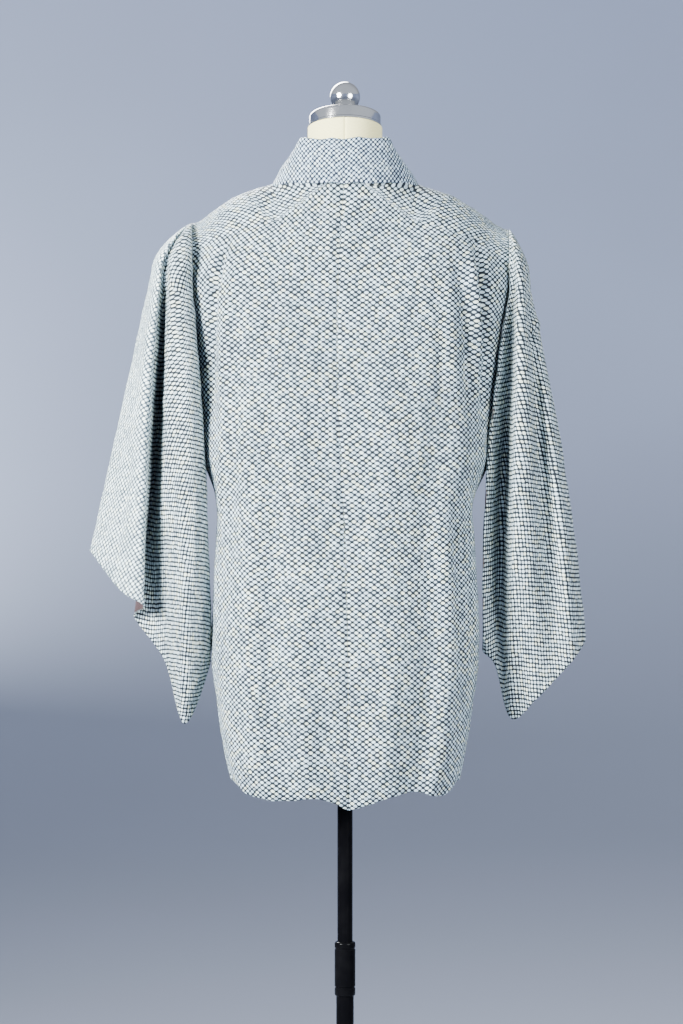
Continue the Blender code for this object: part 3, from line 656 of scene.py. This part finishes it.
# Body panels: back and front in one length over the shoulder.
# The area is set near what this drape holds. A real panel is cut 0.30 by 1.60, about 0.48.
bodyCut = {
    "flat": (0.27, 1.60),
    "area": 0.325,
    "hem": 0.693,
    "underarm": 1.135,
    "gussetTop": 1.045,
    "spring": 1.330,
    "neckHalfWidth": 0.085,
    "neckBackDepth": 0.075,
    "neckHeight": 1.463,
    "neckCrown": 1.550,
    "crownHalfWidth": 0.014,
    "shoulderRound": 0.008,
    "frontSeam": 0.112,
    "gussetHalfTop": 0.010,
    "gussetHalfHem": 0.034,
    "armGap": 0.0012,
    "seamGap": 0.0003,
    "sideWidth": [(0.690, 0.131), (0.730, 0.141), (0.775, 0.150), (0.820, 0.1565),
                  (0.875, 0.163), (1.000, 0.159), (1.060, 0.155), (1.140, 0.150)],
    "backDepth": [(0.680, 0.105), (0.720, 0.114), (0.800, 0.120), (0.900, 0.120),
                  (1.100, 0.108), (1.250, 0.101), (1.340, 0.092)],
    "frontDepth": [(0.680, 0.112), (0.740, 0.119), (0.900, 0.121), (1.100, 0.122),
                   (1.250, 0.121), (1.340, 0.106)],
    "centreBow": [(0.680, -0.004), (0.820, -0.004), (1.005, 0.0), (1.156, 0.007),
                  (1.270, 0.010), (1.340, 0.008), (1.400, 0.002), (1.430, 0.0)],
    "hemRise": {
        1: [(0.0, 0.0), (0.25, 0.015), (0.55, 0.012), (0.85, 0.016), (1.0, 0.030)],
        -1: [(0.0, 0.0), (0.25, 0.010), (0.60, 0.023), (0.90, 0.016), (1.0, 0.030)],
    },
    "folds": {
        (1, "back"): [(0.34, 0.0035, 0.018), (0.72, 0.0055, 0.016), (0.52, -0.004, 0.016)],
        (-1, "back"): [(0.28, 0.0040, 0.020), (0.80, 0.0060, 0.014), (0.62, -0.005, 0.016)],
        (1, "front"): [(0.80, 0.012, 0.010), (0.93, -0.008, 0.008)],
        (-1, "front"): [(0.82, 0.011, 0.010), (0.94, -0.007, 0.008)],
    },
    "creases": {
        1: [
            ([(0.141, 1.211), (0.146, 1.148), (0.151, 1.104), (0.154, 1.061), (0.157, 0.995), (0.160, 0.900)],
             0.0030, 0.0060),
            ([(0.128, 1.240), (0.134, 1.120), (0.140, 0.980)], -0.0026, 0.0065),
            ([(0.138, 1.394), (0.154, 1.366), (0.163, 1.319), (0.166, 1.250), (0.163, 1.160)], -0.0110,
             0.0055),
            ([(0.126, 1.370), (0.142, 1.310), (0.148, 1.230), (0.146, 1.150)], 0.0055, 0.0070),
            ([(0.060, 1.400), (0.085, 1.330), (0.100, 1.200)], -0.0016, 0.0120),
            ([(0.150, 1.380), (0.120, 1.330), (0.104, 1.260)], 0.0018, 0.0090),
            ([(0.055, 0.900), (0.050, 0.800), (0.046, 0.715)], 0.0022, 0.0110),
            ([(0.098, 0.860), (0.098, 0.780), (0.094, 0.715)], -0.0024, 0.0100),
        ],
        -1: [
            ([(-0.125, 1.341), (-0.129, 1.270), (-0.134, 1.202)], 0.0030, 0.0055),
            ([(-0.160, 1.392), (-0.166, 1.360), (-0.171, 1.310), (-0.174, 1.240), (-0.168, 1.150)],
             -0.0110, 0.0050),
            ([(-0.150, 1.385), (-0.157, 1.340), (-0.162, 1.290), (-0.163, 1.190)], 0.0065, 0.0045),
            ([(-0.132, 1.370), (-0.144, 1.319), (-0.150, 1.269), (-0.150, 1.170)], -0.0075, 0.0060),
            ([(-0.145, 1.106), (-0.156, 1.026), (-0.163, 0.925), (-0.165, 0.860), (-0.157, 0.783)],
             0.0030, 0.0060),
            ([(-0.112, 1.330), (-0.116, 1.250), (-0.120, 1.160)], -0.0022, 0.0070),
            ([(-0.060, 1.400), (-0.080, 1.320), (-0.088, 1.180)], -0.0016, 0.0120),
            ([(-0.132, 1.080), (-0.138, 0.960), (-0.140, 0.850)], -0.0028, 0.0070),
            ([(-0.060, 0.900), (-0.056, 0.800), (-0.050, 0.715)], 0.0024, 0.0110),
            ([(-0.104, 0.880), (-0.100, 0.790), (-0.094, 0.715)], -0.0024, 0.0100),
        ],
    },
}


def sideEdge(side, face, z):
    sign = 1 if face == "back" else -1
    armX, armY = armhole(side, face, max(z, bodyCut["underarm"]))
    armX -= bodyCut["armGap"]
    width = along(bodyCut["sideWidth"], z)
    top = bodyCut["gussetTop"]
    half = mix(bodyCut["gussetHalfTop"], bodyCut["gussetHalfHem"], (top - z) / (top - bodyCut["hem"]))
    t = ease((z - top) / (bodyCut["underarm"] - top))
    return mix(width, armX, t), mix(sign * max(half, bodyCut["gussetHalfTop"]), armY, t)


def innerEdge(side, face, z):
    if face == "front":
        return bodyCut["frontSeam"]
    return side * along(bodyCut["centreBow"], z) + bodyCut["seamGap"] / 2


def panelFold(side, face, fraction, width, z):
    total = 0.0
    for centre, height, halfWidth in bodyCut["folds"][(side, face)]:
        total += height * math.exp(-((fraction - centre) * width / halfWidth) ** 2)
    return total * (1 - ease((z - 0.95) / 0.40))


def wallPoint(side, face, z, u):
    sign = 1 if face == "back" else -1
    edgeX, edgeY = sideEdge(side, face, z)
    x = mix(innerEdge(side, face, z), edgeX, 1 - (1 - u) ** 1.6)
    depth = along(bodyCut["backDepth" if face == "back" else "frontDepth"], z)
    flare = ease((z - 1.00) / 0.22)
    n = mix(3.2, 4.5, flare)
    m = mix(2.3, 1.05, flare)
    fraction = min(abs(x) / edgeX, 1.0)
    rise = (1 - fraction ** n) ** (1 / m)
    y = edgeY + (sign * depth - edgeY) * rise
    return x, y + sign * panelFold(side, face, fraction, edgeX, z) * min(1.0, (1 - fraction) * 6)


def hemHeight(side, face, u):
    fraction = 1 - (1 - u) ** 1.6
    rise = along(bodyCut["hemRise"][side], fraction)
    if face == "front":
        rise = mix(0.012, bodyCut["hemRise"][side][-1][1], ease(fraction))
    return bodyCut["hem"] + rise


def crown(side, x):
    shoulderX, shoulderZ = sleeveCut["shoulder"][side]
    neckX, neckZ = bodyCut["neckHalfWidth"], bodyCut["neckHeight"]
    if x < neckX:
        t = (x - bodyCut["crownHalfWidth"]) / (neckX - bodyCut["crownHalfWidth"])
        return mix(bodyCut["neckCrown"], neckZ, max(t, 0.0))
    t = (x - neckX) / (shoulderX - neckX)
    return mix(neckZ, shoulderZ, t) + bodyCut["shoulderRound"] * math.sin(math.pi * min(t, 1.0))


def bodyPoint(side, u, v):
    # v is 0 at the back hem, 1 to 3 over the shoulder and 4 at the front hem
    face = "back" if v < 2 else "front"
    spring = bodyCut["spring"]
    if v <= 1 or v >= 3:
        z = mix(hemHeight(side, face, u), spring, v if v <= 1 else 4 - v)
        x, y = wallPoint(side, face, z, u)
        return side * x, y, z
    angle = (v - 1) * math.pi / 2
    sweep, lift = abs(math.cos(angle)), math.sin(angle)
    springY = wallPoint(side, face, spring, u)[1]
    edgeY = wallPoint(side, face, spring, 1.0)[1]
    y = springY * sweep
    if face == "back":
        inner = innerEdge(side, face, mix(spring, bodyCut["neckHeight"], lift))
        middleY = along(bodyCut["backDepth"], spring) * sweep
        if middleY < bodyCut["neckBackDepth"]:
            openX = bodyCut["neckHalfWidth"] * math.sqrt(1 - (middleY / bodyCut["neckBackDepth"]) ** 2)
            inner = max(inner, openX)
    else:
        inner = mix(bodyCut["neckHalfWidth"], bodyCut["frontSeam"], ease(sweep))
    shoulderZ = sleeveCut["shoulder"][side][1]
    armX, armY = armhole(side, face, mix(spring, shoulderZ, lift))
    armX -= bodyCut["armGap"]
    x = mix(inner, armX, mix(1 - (1 - u) ** 1.6, u, ease(lift)))
    y += (armY - edgeY * sweep) * u ** 4
    z = mix(spring, mix(crown(side, x), shoulderZ, u ** 6), lift)
    return side * x, y, z


def neckStart():
    ratio = bodyCut["neckBackDepth"] / along(bodyCut["backDepth"], bodyCut["spring"])
    return 1 + math.acos(ratio) / (math.pi / 2)


def foldUnder(grid, normals, atEnd, radius=0.0013, depth=0.010):
    # turns the hem inwards round a small bend and a little way up the inside
    edge = grid[-1] if atEnd else grid[0]
    inner = grid[-3] if atEnd else grid[2]
    way = normals[-2] if atEnd else normals[1]
    down = edge - inner
    down /= np.linalg.norm(down, axis=1, keepdims=True)
    extra = []
    for angle in (0.7, 1.4, 2.1, 3.14):
        extra.append(edge + down * radius * math.sin(angle) - way * radius * (1 - math.cos(angle)))
    for height in (0.3, 1.0):
        extra.append(edge - down * depth * height - way * 2 * radius)
    if atEnd:
        return np.concatenate([grid, np.array(extra)])
    return np.concatenate([np.array(extra[::-1]), grid])


def bodyRun(side, grid, rows):
    # flat place of each point: level lines stay level, and the shoulder takes up the ease
    acrossRun = runLength(grid, 1) + np.abs(grid[:, 0, 0])[:, None]
    downRun = runLength(grid[..., 1:], 0)  # the neck seam runs outwards, so its sideways step doesn't count
    start, end = rows.index(1.0), rows.index(3.0)
    fromBack = downRun - downRun[start][None, :]
    overShoulder = fromBack.mean(axis=1)[:, None]
    fromFront = downRun - downRun[end][None, :] + overShoulder[end]
    even = np.array([ease((v - 1.30) / 0.70) if v < 2 else ease((2.80 - v) / 0.80) for v in rows])[:, None]
    ownWay = np.where(np.array(rows)[:, None] < 2, fromBack, fromFront)
    return np.stack([side * acrossRun, mix(ownWay, overShoulder, even)], axis=-1)


def runUnder(run, atEnd, radius=0.0013, depth=0.010):
    edge = run[-1] if atEnd else run[0]
    way = np.array([0.0, 1.0 if atEnd else -1.0])
    lengths = [radius * a for a in (0.7, 1.4, 2.1, 3.14)] + [radius * 3.14 + depth * h for h in (0.3, 1.0)]
    extra = [edge + way * length for length in lengths]
    return np.concatenate([run, np.array(extra)] if atEnd else [np.array(extra[::-1]), run])


def buildBody(side, name, node):
    start = neckStart()
    turn = [mix(start, 2.0, (i / 24) ** 1.5) for i in range(24)]
    rows = steps(0.0, 1.0, 128) + steps(1.0, start, 10) + turn
    rows += steps(2.0, 3.0, 34) + steps(3.0, 4.0, 112) + [4.0]
    columns = [0.0, 0.003, 0.008, 0.015] + steps(0.025, 0.975, 56) + [0.975, 0.987, 0.995, 1.0]
    grid = gridOf(lambda u, v: bodyPoint(side, u, v), columns, rows)
    normals = pointOutward(grid, gridNormals(grid), (side * 0.07, 0.0))
    vs = np.array(rows)[:, None]
    back = (vs < 2).astype(float)
    acrossRun = runLength(grid, 1)
    downRun = runLength(grid, 0)
    run = bodyRun(side, grid, rows)
    lift = creaseHeight(grid, back, bodyCut["creases"][side])
    lift += creaseHeight(grid, 1 - back, bodyCut["creases"][side][:3]) * 1.2
    hemBack = np.exp(-((grid[..., 2] - bodyCut["hem"]) / 0.030) ** 2)
    lump = puckers(acrossRun, downRun * 0.5, 0.030, 11.0 + side)
    lift += hemBack * (0.0045 * lump - 0.0040)
    lift += 0.0012 * puckers(acrossRun, downRun * 0.5, 0.028, 1.5 + side)
    lift += 0.0004 * puckers(acrossRun, downRun, 0.0075, 5.0 + side)
    fromSeam = acrossRun
    fromArm = acrossRun[:, -1][:, None] - acrossRun
    calm = np.clip(fromArm / 0.012, 0.15, 1)
    lift = lift * calm
    belowShoulder = np.clip((1.385 - grid[..., 2]) / 0.05, 0, 1)
    lift -= 0.0016 * np.exp(-(fromSeam / 0.0030) ** 2)
    lift += 0.0007 * np.exp(-((fromSeam - 0.008) / 0.0035) ** 2)
    lift -= 0.0012 * np.exp(-(fromArm / 0.0030) ** 2) * belowShoulder
    grid = grid + normals * lift[..., None]

    laid = diamondLattice(runUnder(runUnder(run, False), True))
    grid = foldUnder(grid, normals, False)
    lastNormals = pointOutward(grid, gridNormals(grid), (side * 0.07, 0.0))
    grid = foldUnder(grid, np.concatenate([lastNormals[:-2], normals[-2:]]), True)
    outward = lambda p: Vector((p.x - side * 0.07, p.y, 0.0))
    made = clothMesh(name, grid, laid, [silkOnBody, liningSilk], outward=outward)
    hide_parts(node)
    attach(made, "form")
    return made


bodyLeft = buildBody(1, "bodyPanelLeft", "body_left")
bodyRight = buildBody(-1, "bodyPanelRight", "body_right")
print("body panels made")


def buildGusset(side, name, node):
    low, top = hemHeight(side, "back", 1.0), bodyCut["gussetTop"]

    def place(s, t):
        z = mix(low, top, t)
        edgeX, edgeY = sideEdge(side, "back", z)
        bow = 0.004 * (1 - s * s) * ease((top - z) / 0.1)
        crease = 0.0028 * math.exp(-((s - 0.15) * edgeY / 0.006) ** 2) * ease((top - z) / 0.12)
        return side * (edgeX + bow - crease), s * (edgeY - 0.0006), z

    grid = gridOf(place, steps(-1, 1, 18) + [1], steps(0, 1, 76) + [1])
    normals = pointOutward(grid, gridNormals(grid), (0.0, 0.0))
    acrossRun, downRun = runLength(grid, 1), runLength(grid, 0)
    lift = 0.0009 * puckers(acrossRun, downRun * 0.5, 0.020, 21.0 + side)
    lift += 0.0004 * puckers(acrossRun, downRun, 0.0075, 25.0 + side)
    grid = grid + normals * lift[..., None]
    laid = diamondLattice(runUnder(np.stack([acrossRun, downRun], axis=-1), False))
    grid = foldUnder(grid, normals, False)
    made = clothMesh(name, grid, laid, [silkOnBody, liningSilk], outward=lambda p: Vector((p.x, 0.0, 0.0)))
    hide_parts(node)
    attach(made, "form")
    return made


gussetLeft = buildGusset(1, "gussetLeft", "gusset_left")
gussetRight = buildGusset(-1, "gussetRight", "gusset_right")
print("gussets made")


# Collar: one band folded outwards in half, from hem to hem round the neck
collarCut = {"flat": (0.120, 1.90), "width": 0.054, "lift": 0.0042, "start": 0.0015, "puff": 0.0022}


def blended(a, b, t):
    return [mix(a[k], b[k], t) for k in range(3)]


def collarFrame(v):
    # the way to the fold, and the way out, for the side x > 0
    if v < 2:
        t = ease((v - neckStart()) / (2 - neckStart()))
        toward = blended((0.0, -0.40, 0.917), (-0.61, 0.0, 0.79), t)
        outward = blended((0.0, 0.93, 0.36), (0.79, 0.0, 0.61), t)
    else:
        t = ease((v - 2) / 0.8)
        toward = blended((-0.61, 0.0, 0.79), (-0.99, -0.10, 0.0), t)
        outward = blended((0.79, 0.0, 0.61), (0.10, -0.99, 0.0), t)
    length = math.sqrt(sum(c * c for c in toward))
    return [c / length for c in toward], outward


def collarPoint(v, p):
    # p runs 0 to 1 on the inner layer, 1 to 2 round the fold and 2 to 3 on the outer layer
    seam = bodyPoint(1, 0.0, v)
    toward, outward = collarFrame(v)
    width, gap = collarCut["width"], collarCut["lift"]
    if p <= 1:
        reach, lift = mix(collarCut["start"], width - gap / 2, p), 0.0
    elif p <= 2:
        angle = (p - 1) * math.pi
        reach = width - gap / 2 + math.sin(angle) * gap / 2
        lift = (1 - math.cos(angle)) * gap / 2
    else:
        reach = mix(width - gap / 2, -0.0085, p - 2)
        lift = gap + collarCut["puff"] * math.sin((p - 2) * math.pi) ** 0.8
        lift -= (gap - 0.0032) * ease((p - 2.45) / 0.55) * ease((3.1 - v) / 0.5)
    return [seam[k] + toward[k] * reach + outward[k] * lift for k in range(3)]


def buildCollar():
    start = neckStart()
    roundNeck = [mix(start, 2.0, (i / 26) ** 1.4) for i in range(26)]
    half = roundNeck + steps(2.0, 3.0, 38) + steps(3.0, 4.0, 130) + [4.0]
    rows = [(-1, v) for v in reversed(half[1:])] + [(1, v) for v in half]
    columns = steps(0, 1, 12) + steps(1, 2, 6) + steps(2, 2.9, 13) + [2.9, 2.96, 3.0]

    def place(p, row):
        side, v = row
        x, y, z = collarPoint(v, p)
        return side * x, y, z

    grid = gridOf(place, columns, rows)
    normals = gridNormals(grid)
    outer = (np.array(columns) >= 1.5)[None, :].astype(float)
    away = normals[len(rows) // 2, -5]
    if away[1] < 0:
        normals = -normals
    downRun, acrossRun = runLength(grid, 0), runLength(grid, 1)
    run = np.stack([acrossRun, downRun], axis=-1)
    lift = outer * (0.0016 * puckers(acrossRun, downRun * 0.45, 0.024, 31.0) + 0.0005)
    lift += 0.0004 * puckers(acrossRun, downRun, 0.0075, 35.0)
    free = np.clip((np.array(columns) - 2.0), 0, 1)[None, :]
    lift += 0.0014 * free ** 3 * puckers(acrossRun * 0.2, downRun, 0.030, 38.0)
    grid = grid + normals * lift[..., None]
    middle = len(rows) // 2
    run[..., 1] -= run[middle, :, 1][None, :]
    laid = diamondLattice(run, wide=0.0068, tall=0.0061)
    made = clothMesh("collarBand", grid, laid, [silkOnCollar], outward=lambda p: Vector((0, 0, 0)))
    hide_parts("collar")
    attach(made, "form")
    return made


collarPiece = buildCollar()
print("collar made")


# Dress form: linen cover drawn over the torso and the neck
formShape = {
    "rings": [(0.790, 0.138, 0.092, 0.088), (0.800, 0.145, 0.098, 0.093), (0.860, 0.150, 0.108, 0.100),
              (0.950, 0.139, 0.098, 0.095), (1.050, 0.113, 0.076, 0.086), (1.150, 0.126, 0.078, 0.096),
              (1.250, 0.141, 0.084, 0.110), (1.320, 0.150, 0.080, 0.096), (1.370, 0.158, 0.062, 0.066),
              (1.400, 0.155, 0.049, 0.050), (1.420, 0.140, 0.043, 0.043), (1.435, 0.114, 0.043, 0.041),
              (1.448, 0.086, 0.045, 0.042), (1.462, 0.062, 0.0465, 0.0445), (1.480, 0.049, 0.0465, 0.0465),
              (1.500, 0.0465, 0.0465, 0.0465), (1.533, 0.0465, 0.0465, 0.0465)],
    "capTilt": math.radians(9),
    "seamDepth": 0.0011,
    "seamHalfWidth": 0.0013,
}


def buildForm():
    rings = formShape["rings"]
    tables = [[(ring[0], ring[k]) for ring in rings] for k in (1, 2, 3)]
    slope = math.tan(formShape["capTilt"])
    seams = [math.pi / 2, 3 * math.pi / 2]
    angles = [2 * math.pi * i / 96 for i in range(97)]
    angles += [seam + off * math.pi / 180 for seam in seams for off in (-2.2, -1.3, -0.6, 0.6, 1.3, 2.2)]
    angles = sorted(angles)
    heights = steps(0.790, 0.812, 6) + steps(0.812, 1.36, 60)
    heights += steps(1.36, 1.500, 50) + steps(1.500, 1.533, 10) + [1.533]

    def place(angle, height):
        width, back, front = [along(table, height) for table in tables]
        sine, cosine = math.sin(angle), math.cos(angle)
        power = mix(0.9, 1.0, ease((height - 1.44) / 0.05))
        x = width * math.copysign(abs(cosine) ** power, cosine)
        y = (back if sine > 0 else front) * sine
        size = math.hypot(x, y)
        near = abs(x) / formShape["seamHalfWidth"]
        dip = formShape["seamDepth"] * math.exp(-near ** 2) if abs(cosine) < 0.3 else 0.0
        z = height + y * slope * ease((height - 1.500) / 0.033)
        return x * (1 - dip / size), y * (1 - dip / size), z

    grid = gridOf(place, angles, heights)
    shape = bmesh.new()
    rows, columns = grid.shape[:2]
    bmesh.ops.create_grid(shape, x_segments=columns - 1, y_segments=rows - 1, size=0.5)
    acrossRun, downRun = runLength(grid, 1), runLength(grid, 0)
    layer = shape.loops.layers.uv.new("cloth")
    slots = {}
    for vert in shape.verts:
        column = round((vert.co.x + 0.5) * (columns - 1))
        row = round((vert.co.y + 0.5) * (rows - 1))
        slots[vert.index] = (row, column)
        vert.co = grid[row, column]
    for face in shape.faces:
        for loop in face.loops:
            p = slots[loop.vert.index]
            loop[layer].uv = (acrossRun[p], downRun[p])
    bmesh.ops.remove_doubles(shape, verts=shape.verts, dist=0.00002)
    bmesh.ops.holes_fill(shape, edges=[e for e in shape.edges if e.is_boundary], sides=0)
    bmesh.ops.recalc_face_normals(shape, faces=shape.faces)
    made = objectFrom("linenForm", shape, [creamLinen], angle=50)
    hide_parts("form_torso")
    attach(made, "form")
    return made


buildForm()
print("form made")


# Turned pieces: cap, knob and stand

def turned(name, node, body, profile, material, tilt=0.0, lift=0.0, segments=96, angle=32):
    shape = bmesh.new()
    verts = [shape.verts.new((radius, 0.0, height)) for radius, height in profile]
    edges = [shape.edges.new((a, b)) for a, b in zip(verts, verts[1:])]
    if profile[0][0] > 0:
        edges.append(shape.edges.new((verts[-1], verts[0])))
    bmesh.ops.spin(shape, geom=verts + edges, cent=(0, 0, 0), axis=(0, 0, 1), angle=2 * math.pi,
                   steps=segments, use_merge=True)
    bmesh.ops.remove_doubles(shape, verts=shape.verts, dist=0.00001)
    bmesh.ops.recalc_face_normals(shape, faces=shape.faces)
    bmesh.ops.rotate(shape, verts=shape.verts, cent=(0, 0, 0), matrix=Matrix.Rotation(tilt, 3, "X"))
    bmesh.ops.translate(shape, verts=shape.verts, vec=(0, 0, lift))
    made = objectFrom(name, shape, [material], angle=angle)
    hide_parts(node)
    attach(made, body)
    return made


def rounded(radius, height, edge, outer=True, count=5):
    # quarter bend between a wall at radius and a face at height
    sign = 1 if outer else -1
    return [(radius - edge + edge * math.cos(a), height - sign * edge + sign * edge * math.sin(a))
            for a in [math.pi / 2 * i / count for i in range(count + 1)]]


capShape = {"radius": 0.0455, "height": 0.0185, "rim": 0.0030, "low": 1.5333, "bead": 0.0008}
knobShape = {"radius": 0.0188, "top": 1.5915, "stem": 0.0065}
cap = capShape
turned("neckCap", "neck_cap", "form",
       [(0.0, 0.0), (cap["radius"] - 0.0008, 0.0), (cap["radius"], 0.0008),
        (cap["radius"], 0.0032), (cap["radius"] - cap["bead"], 0.0040), (cap["radius"] - cap["bead"], 0.0048)]
       + rounded(cap["radius"] - cap["bead"], cap["height"], 0.0050, count=8)
       + [(0.020, cap["height"] + 0.0004), (0.0095, cap["height"] + 0.0008),
          (0.0085, cap["height"] + 0.0014), (0.0, cap["height"] + 0.0014)],
       polishedChrome, tilt=formShape["capTilt"], lift=cap["low"])
knobCentre = knobShape["top"] - knobShape["radius"]
meet = math.asin(knobShape["stem"] / knobShape["radius"])
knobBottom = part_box("neck_knob")[0][2]
ball = [(knobShape["radius"] * math.sin(mix(math.pi - meet, 0.0, i / 32)),
         knobCentre + knobShape["radius"] * math.cos(mix(math.pi - meet, 0.0, i / 32))) for i in range(32)]
turned("neckKnob", "neck_knob", "form",
       [(0.0, knobBottom), (knobShape["stem"] + 0.0012, knobBottom), (knobShape["stem"], knobBottom + 0.0012)]
       + ball + [(0.0, knobShape["top"])], polishedChrome, angle=50)

standShape = {"edge": 0.0030, "hubRadius": 0.030, "hubHeight": 0.045, "clear": 0.0003, "bore": 0.0099}
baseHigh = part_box("stand_base")[1]
outerLow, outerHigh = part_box("pole_outer")
lockLow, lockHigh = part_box("pole_lock")
innerLow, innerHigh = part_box("pole_inner")
baseRadius, outerRadius = baseHigh[0], outerHigh[0]
lockRadius, innerRadius = lockHigh[0], innerHigh[0]
plate = 0.012
hub, hubTop = standShape["hubRadius"], standShape["hubHeight"]
turned("standBase", "stand_base", "stand",
       [(0.0, 0.0), (baseRadius - 0.002, 0.0), (baseRadius, 0.002)]
       + rounded(baseRadius, plate, standShape["edge"])
       + [(baseRadius * 0.6, plate + 0.0004), (hub + 0.006, plate + 0.0010),
          (hub + 0.002, plate + 0.0025), (hub, plate + 0.006)]
       + rounded(hub - 0.002, hubTop, 0.0060, count=8)
       + [(outerRadius + 0.0020, hubTop), (outerRadius + 0.0006, hubTop - 0.0012),
          (outerRadius + 0.0006, plate), (0.0, plate)],
       blackEnamel, segments=144)
turned("outerPole", "pole_outer", "stand",
       [(standShape["bore"], outerLow[2]), (outerRadius, outerLow[2]), (outerRadius, outerHigh[2]),
        (standShape["bore"], outerHigh[2])], blackEnamel, segments=64)
lockTop, lockBottom = lockHigh[2], lockLow[2]
turned("poleLock", "pole_lock", "stand",
       [(outerRadius + 0.0003, lockBottom), (lockRadius - 0.0012, lockBottom),
        (lockRadius - 0.0004, lockBottom + 0.0006),
        (lockRadius, lockBottom + 0.0018), (lockRadius, lockBottom + 0.0090),
        (lockRadius - 0.0007, lockBottom + 0.0098),
        (lockRadius - 0.0007, lockBottom + 0.0112), (lockRadius, lockBottom + 0.0120),
        (lockRadius, lockTop - 0.0100), (lockRadius - 0.0006, lockTop - 0.0092),
        (lockRadius - 0.0006, lockTop - 0.0080),
        (lockRadius, lockTop - 0.0072)]
       + rounded(lockRadius, lockTop, 0.0026)
       + [(standShape["bore"], lockTop), (standShape["bore"], outerHigh[2] + 0.0003),
          (outerRadius + 0.0003, outerHigh[2] + 0.0003)], blackEnamel, segments=64)
turned("innerPole", "pole_inner", "pole",
       [(0.0, innerLow[2]), (innerRadius, innerLow[2]), (innerRadius, innerHigh[2]), (0.0, innerHigh[2])],
       blackEnamel, segments=64)
print("cap, knob and stand made")


# Studio
studio = {
    "wall": (0.62, 0.69, 0.88),
    "floor": (0.235, 0.255, 0.315),
    "world": (0.74, 0.80, 0.92),
    "worldStrength": 0.85,
    "coveRadius": 11.0,
    "lights": [
        ("key", (2.4, 2.2, 2.0), (0.0, 0.0, 1.10), 1.6, 150.0, (0.98, 1.0, 1.0)),
        ("fill", (-2.2, 2.6, 1.6), (0.0, 0.0, 1.10), 2.0, 42.0, (0.95, 0.98, 1.0)),
        ("wall", (2.6, -7.0, 1.9), (2.2, -11.0, 1.9), 1.4, 95.0, (0.90, 0.95, 1.0)),
        ("back", (0.6, -2.0, 2.6), (0.0, 0.0, 1.20), 1.6, 45.0, (0.95, 0.98, 1.0)),
    ],
}


def buildStudio():
    material, tree, shader = newMaterial("pale floor", 0.85)
    place = addNode(tree, "ShaderNodeTexCoord").outputs["Object"]
    cloud = addNode(tree, "ShaderNodeTexNoise", {"Vector": place, "Scale": 0.5, "Detail": 2.0})
    height = addNode(tree, "ShaderNodeSeparateXYZ", {"Vector": place}).outputs["Z"]
    # the cove's colour goes from the dark floor colour up to the pale wall colour with height: painted shade
    # of the backdrop's fall-off towards the floor
    colour = mixColour(tree, mapped(tree, height, -0.6, 2.4), studio["floor"], studio["wall"])
    colour = mixColour(tree, mapped(tree, cloud.outputs["Fac"], 0.3, 0.7, 0.0, 0.08), colour, (0.2, 0.2, 0.2))
    tree.links.new(colour, shader.inputs["Base Color"])
    cove = bmesh.new()
    radius, bend, top = studio["coveRadius"], 6.0, 4.9
    profile = [(0.0, 0.0), (radius - bend, 0.0)]
    profile += [(radius - bend + bend * math.sin(a), 4.6 * (1 - math.cos(a)))
                for a in [math.pi / 2 * i / 24 for i in range(1, 25)]]
    profile.append((radius, top))
    verts = [cove.verts.new((r, 0.0, h)) for r, h in profile]
    edges = [cove.edges.new((a, b)) for a, b in zip(verts, verts[1:])]
    bmesh.ops.spin(cove, geom=verts + edges, cent=(0, 0, 0), axis=(0, 0, 1), angle=2 * math.pi,
                   steps=96, use_merge=True)
    bmesh.ops.remove_doubles(cove, verts=cove.verts, dist=0.0001)
    made = objectFrom("studioCove", cove, [material])
    world = bpy.data.worlds.new("studio")
    world.use_nodes = True
    scene.world = world
    sky = world.node_tree.nodes["Background"]
    sky.inputs["Color"].default_value = (*studio["world"], 1.0)
    sky.inputs["Strength"].default_value = studio["worldStrength"]
    for name, spot, aim, size, power, colour in studio["lights"]:
        light = bpy.data.lights.new(name, "AREA")
        light.shape = "DISK"
        light.size = size
        light.energy = power
        light.color = colour
        light.spread = math.radians(180 if name == "wall" else 75)
        lamp = bpy.data.objects.new(name, light)
        lamp.location = spot
        lamp.rotation_euler = (Vector(aim) - Vector(spot)).to_track_quat("-Z", "Y").to_euler()
        lamp.visible_camera = False
        scene.collection.objects.link(lamp)


def buildCamera():
    lens = bpy.data.cameras.new("camera")
    lens.lens = 90
    lens.sensor_width = 36
    camera = bpy.data.objects.new("camera", lens)
    camera.location = (0.0044, 3.2, 1.054)
    camera.rotation_euler = (math.pi / 2, 0.0, math.pi)
    scene.collection.objects.link(camera)
    scene.camera = camera


buildStudio()
buildCamera()
print("studio made")
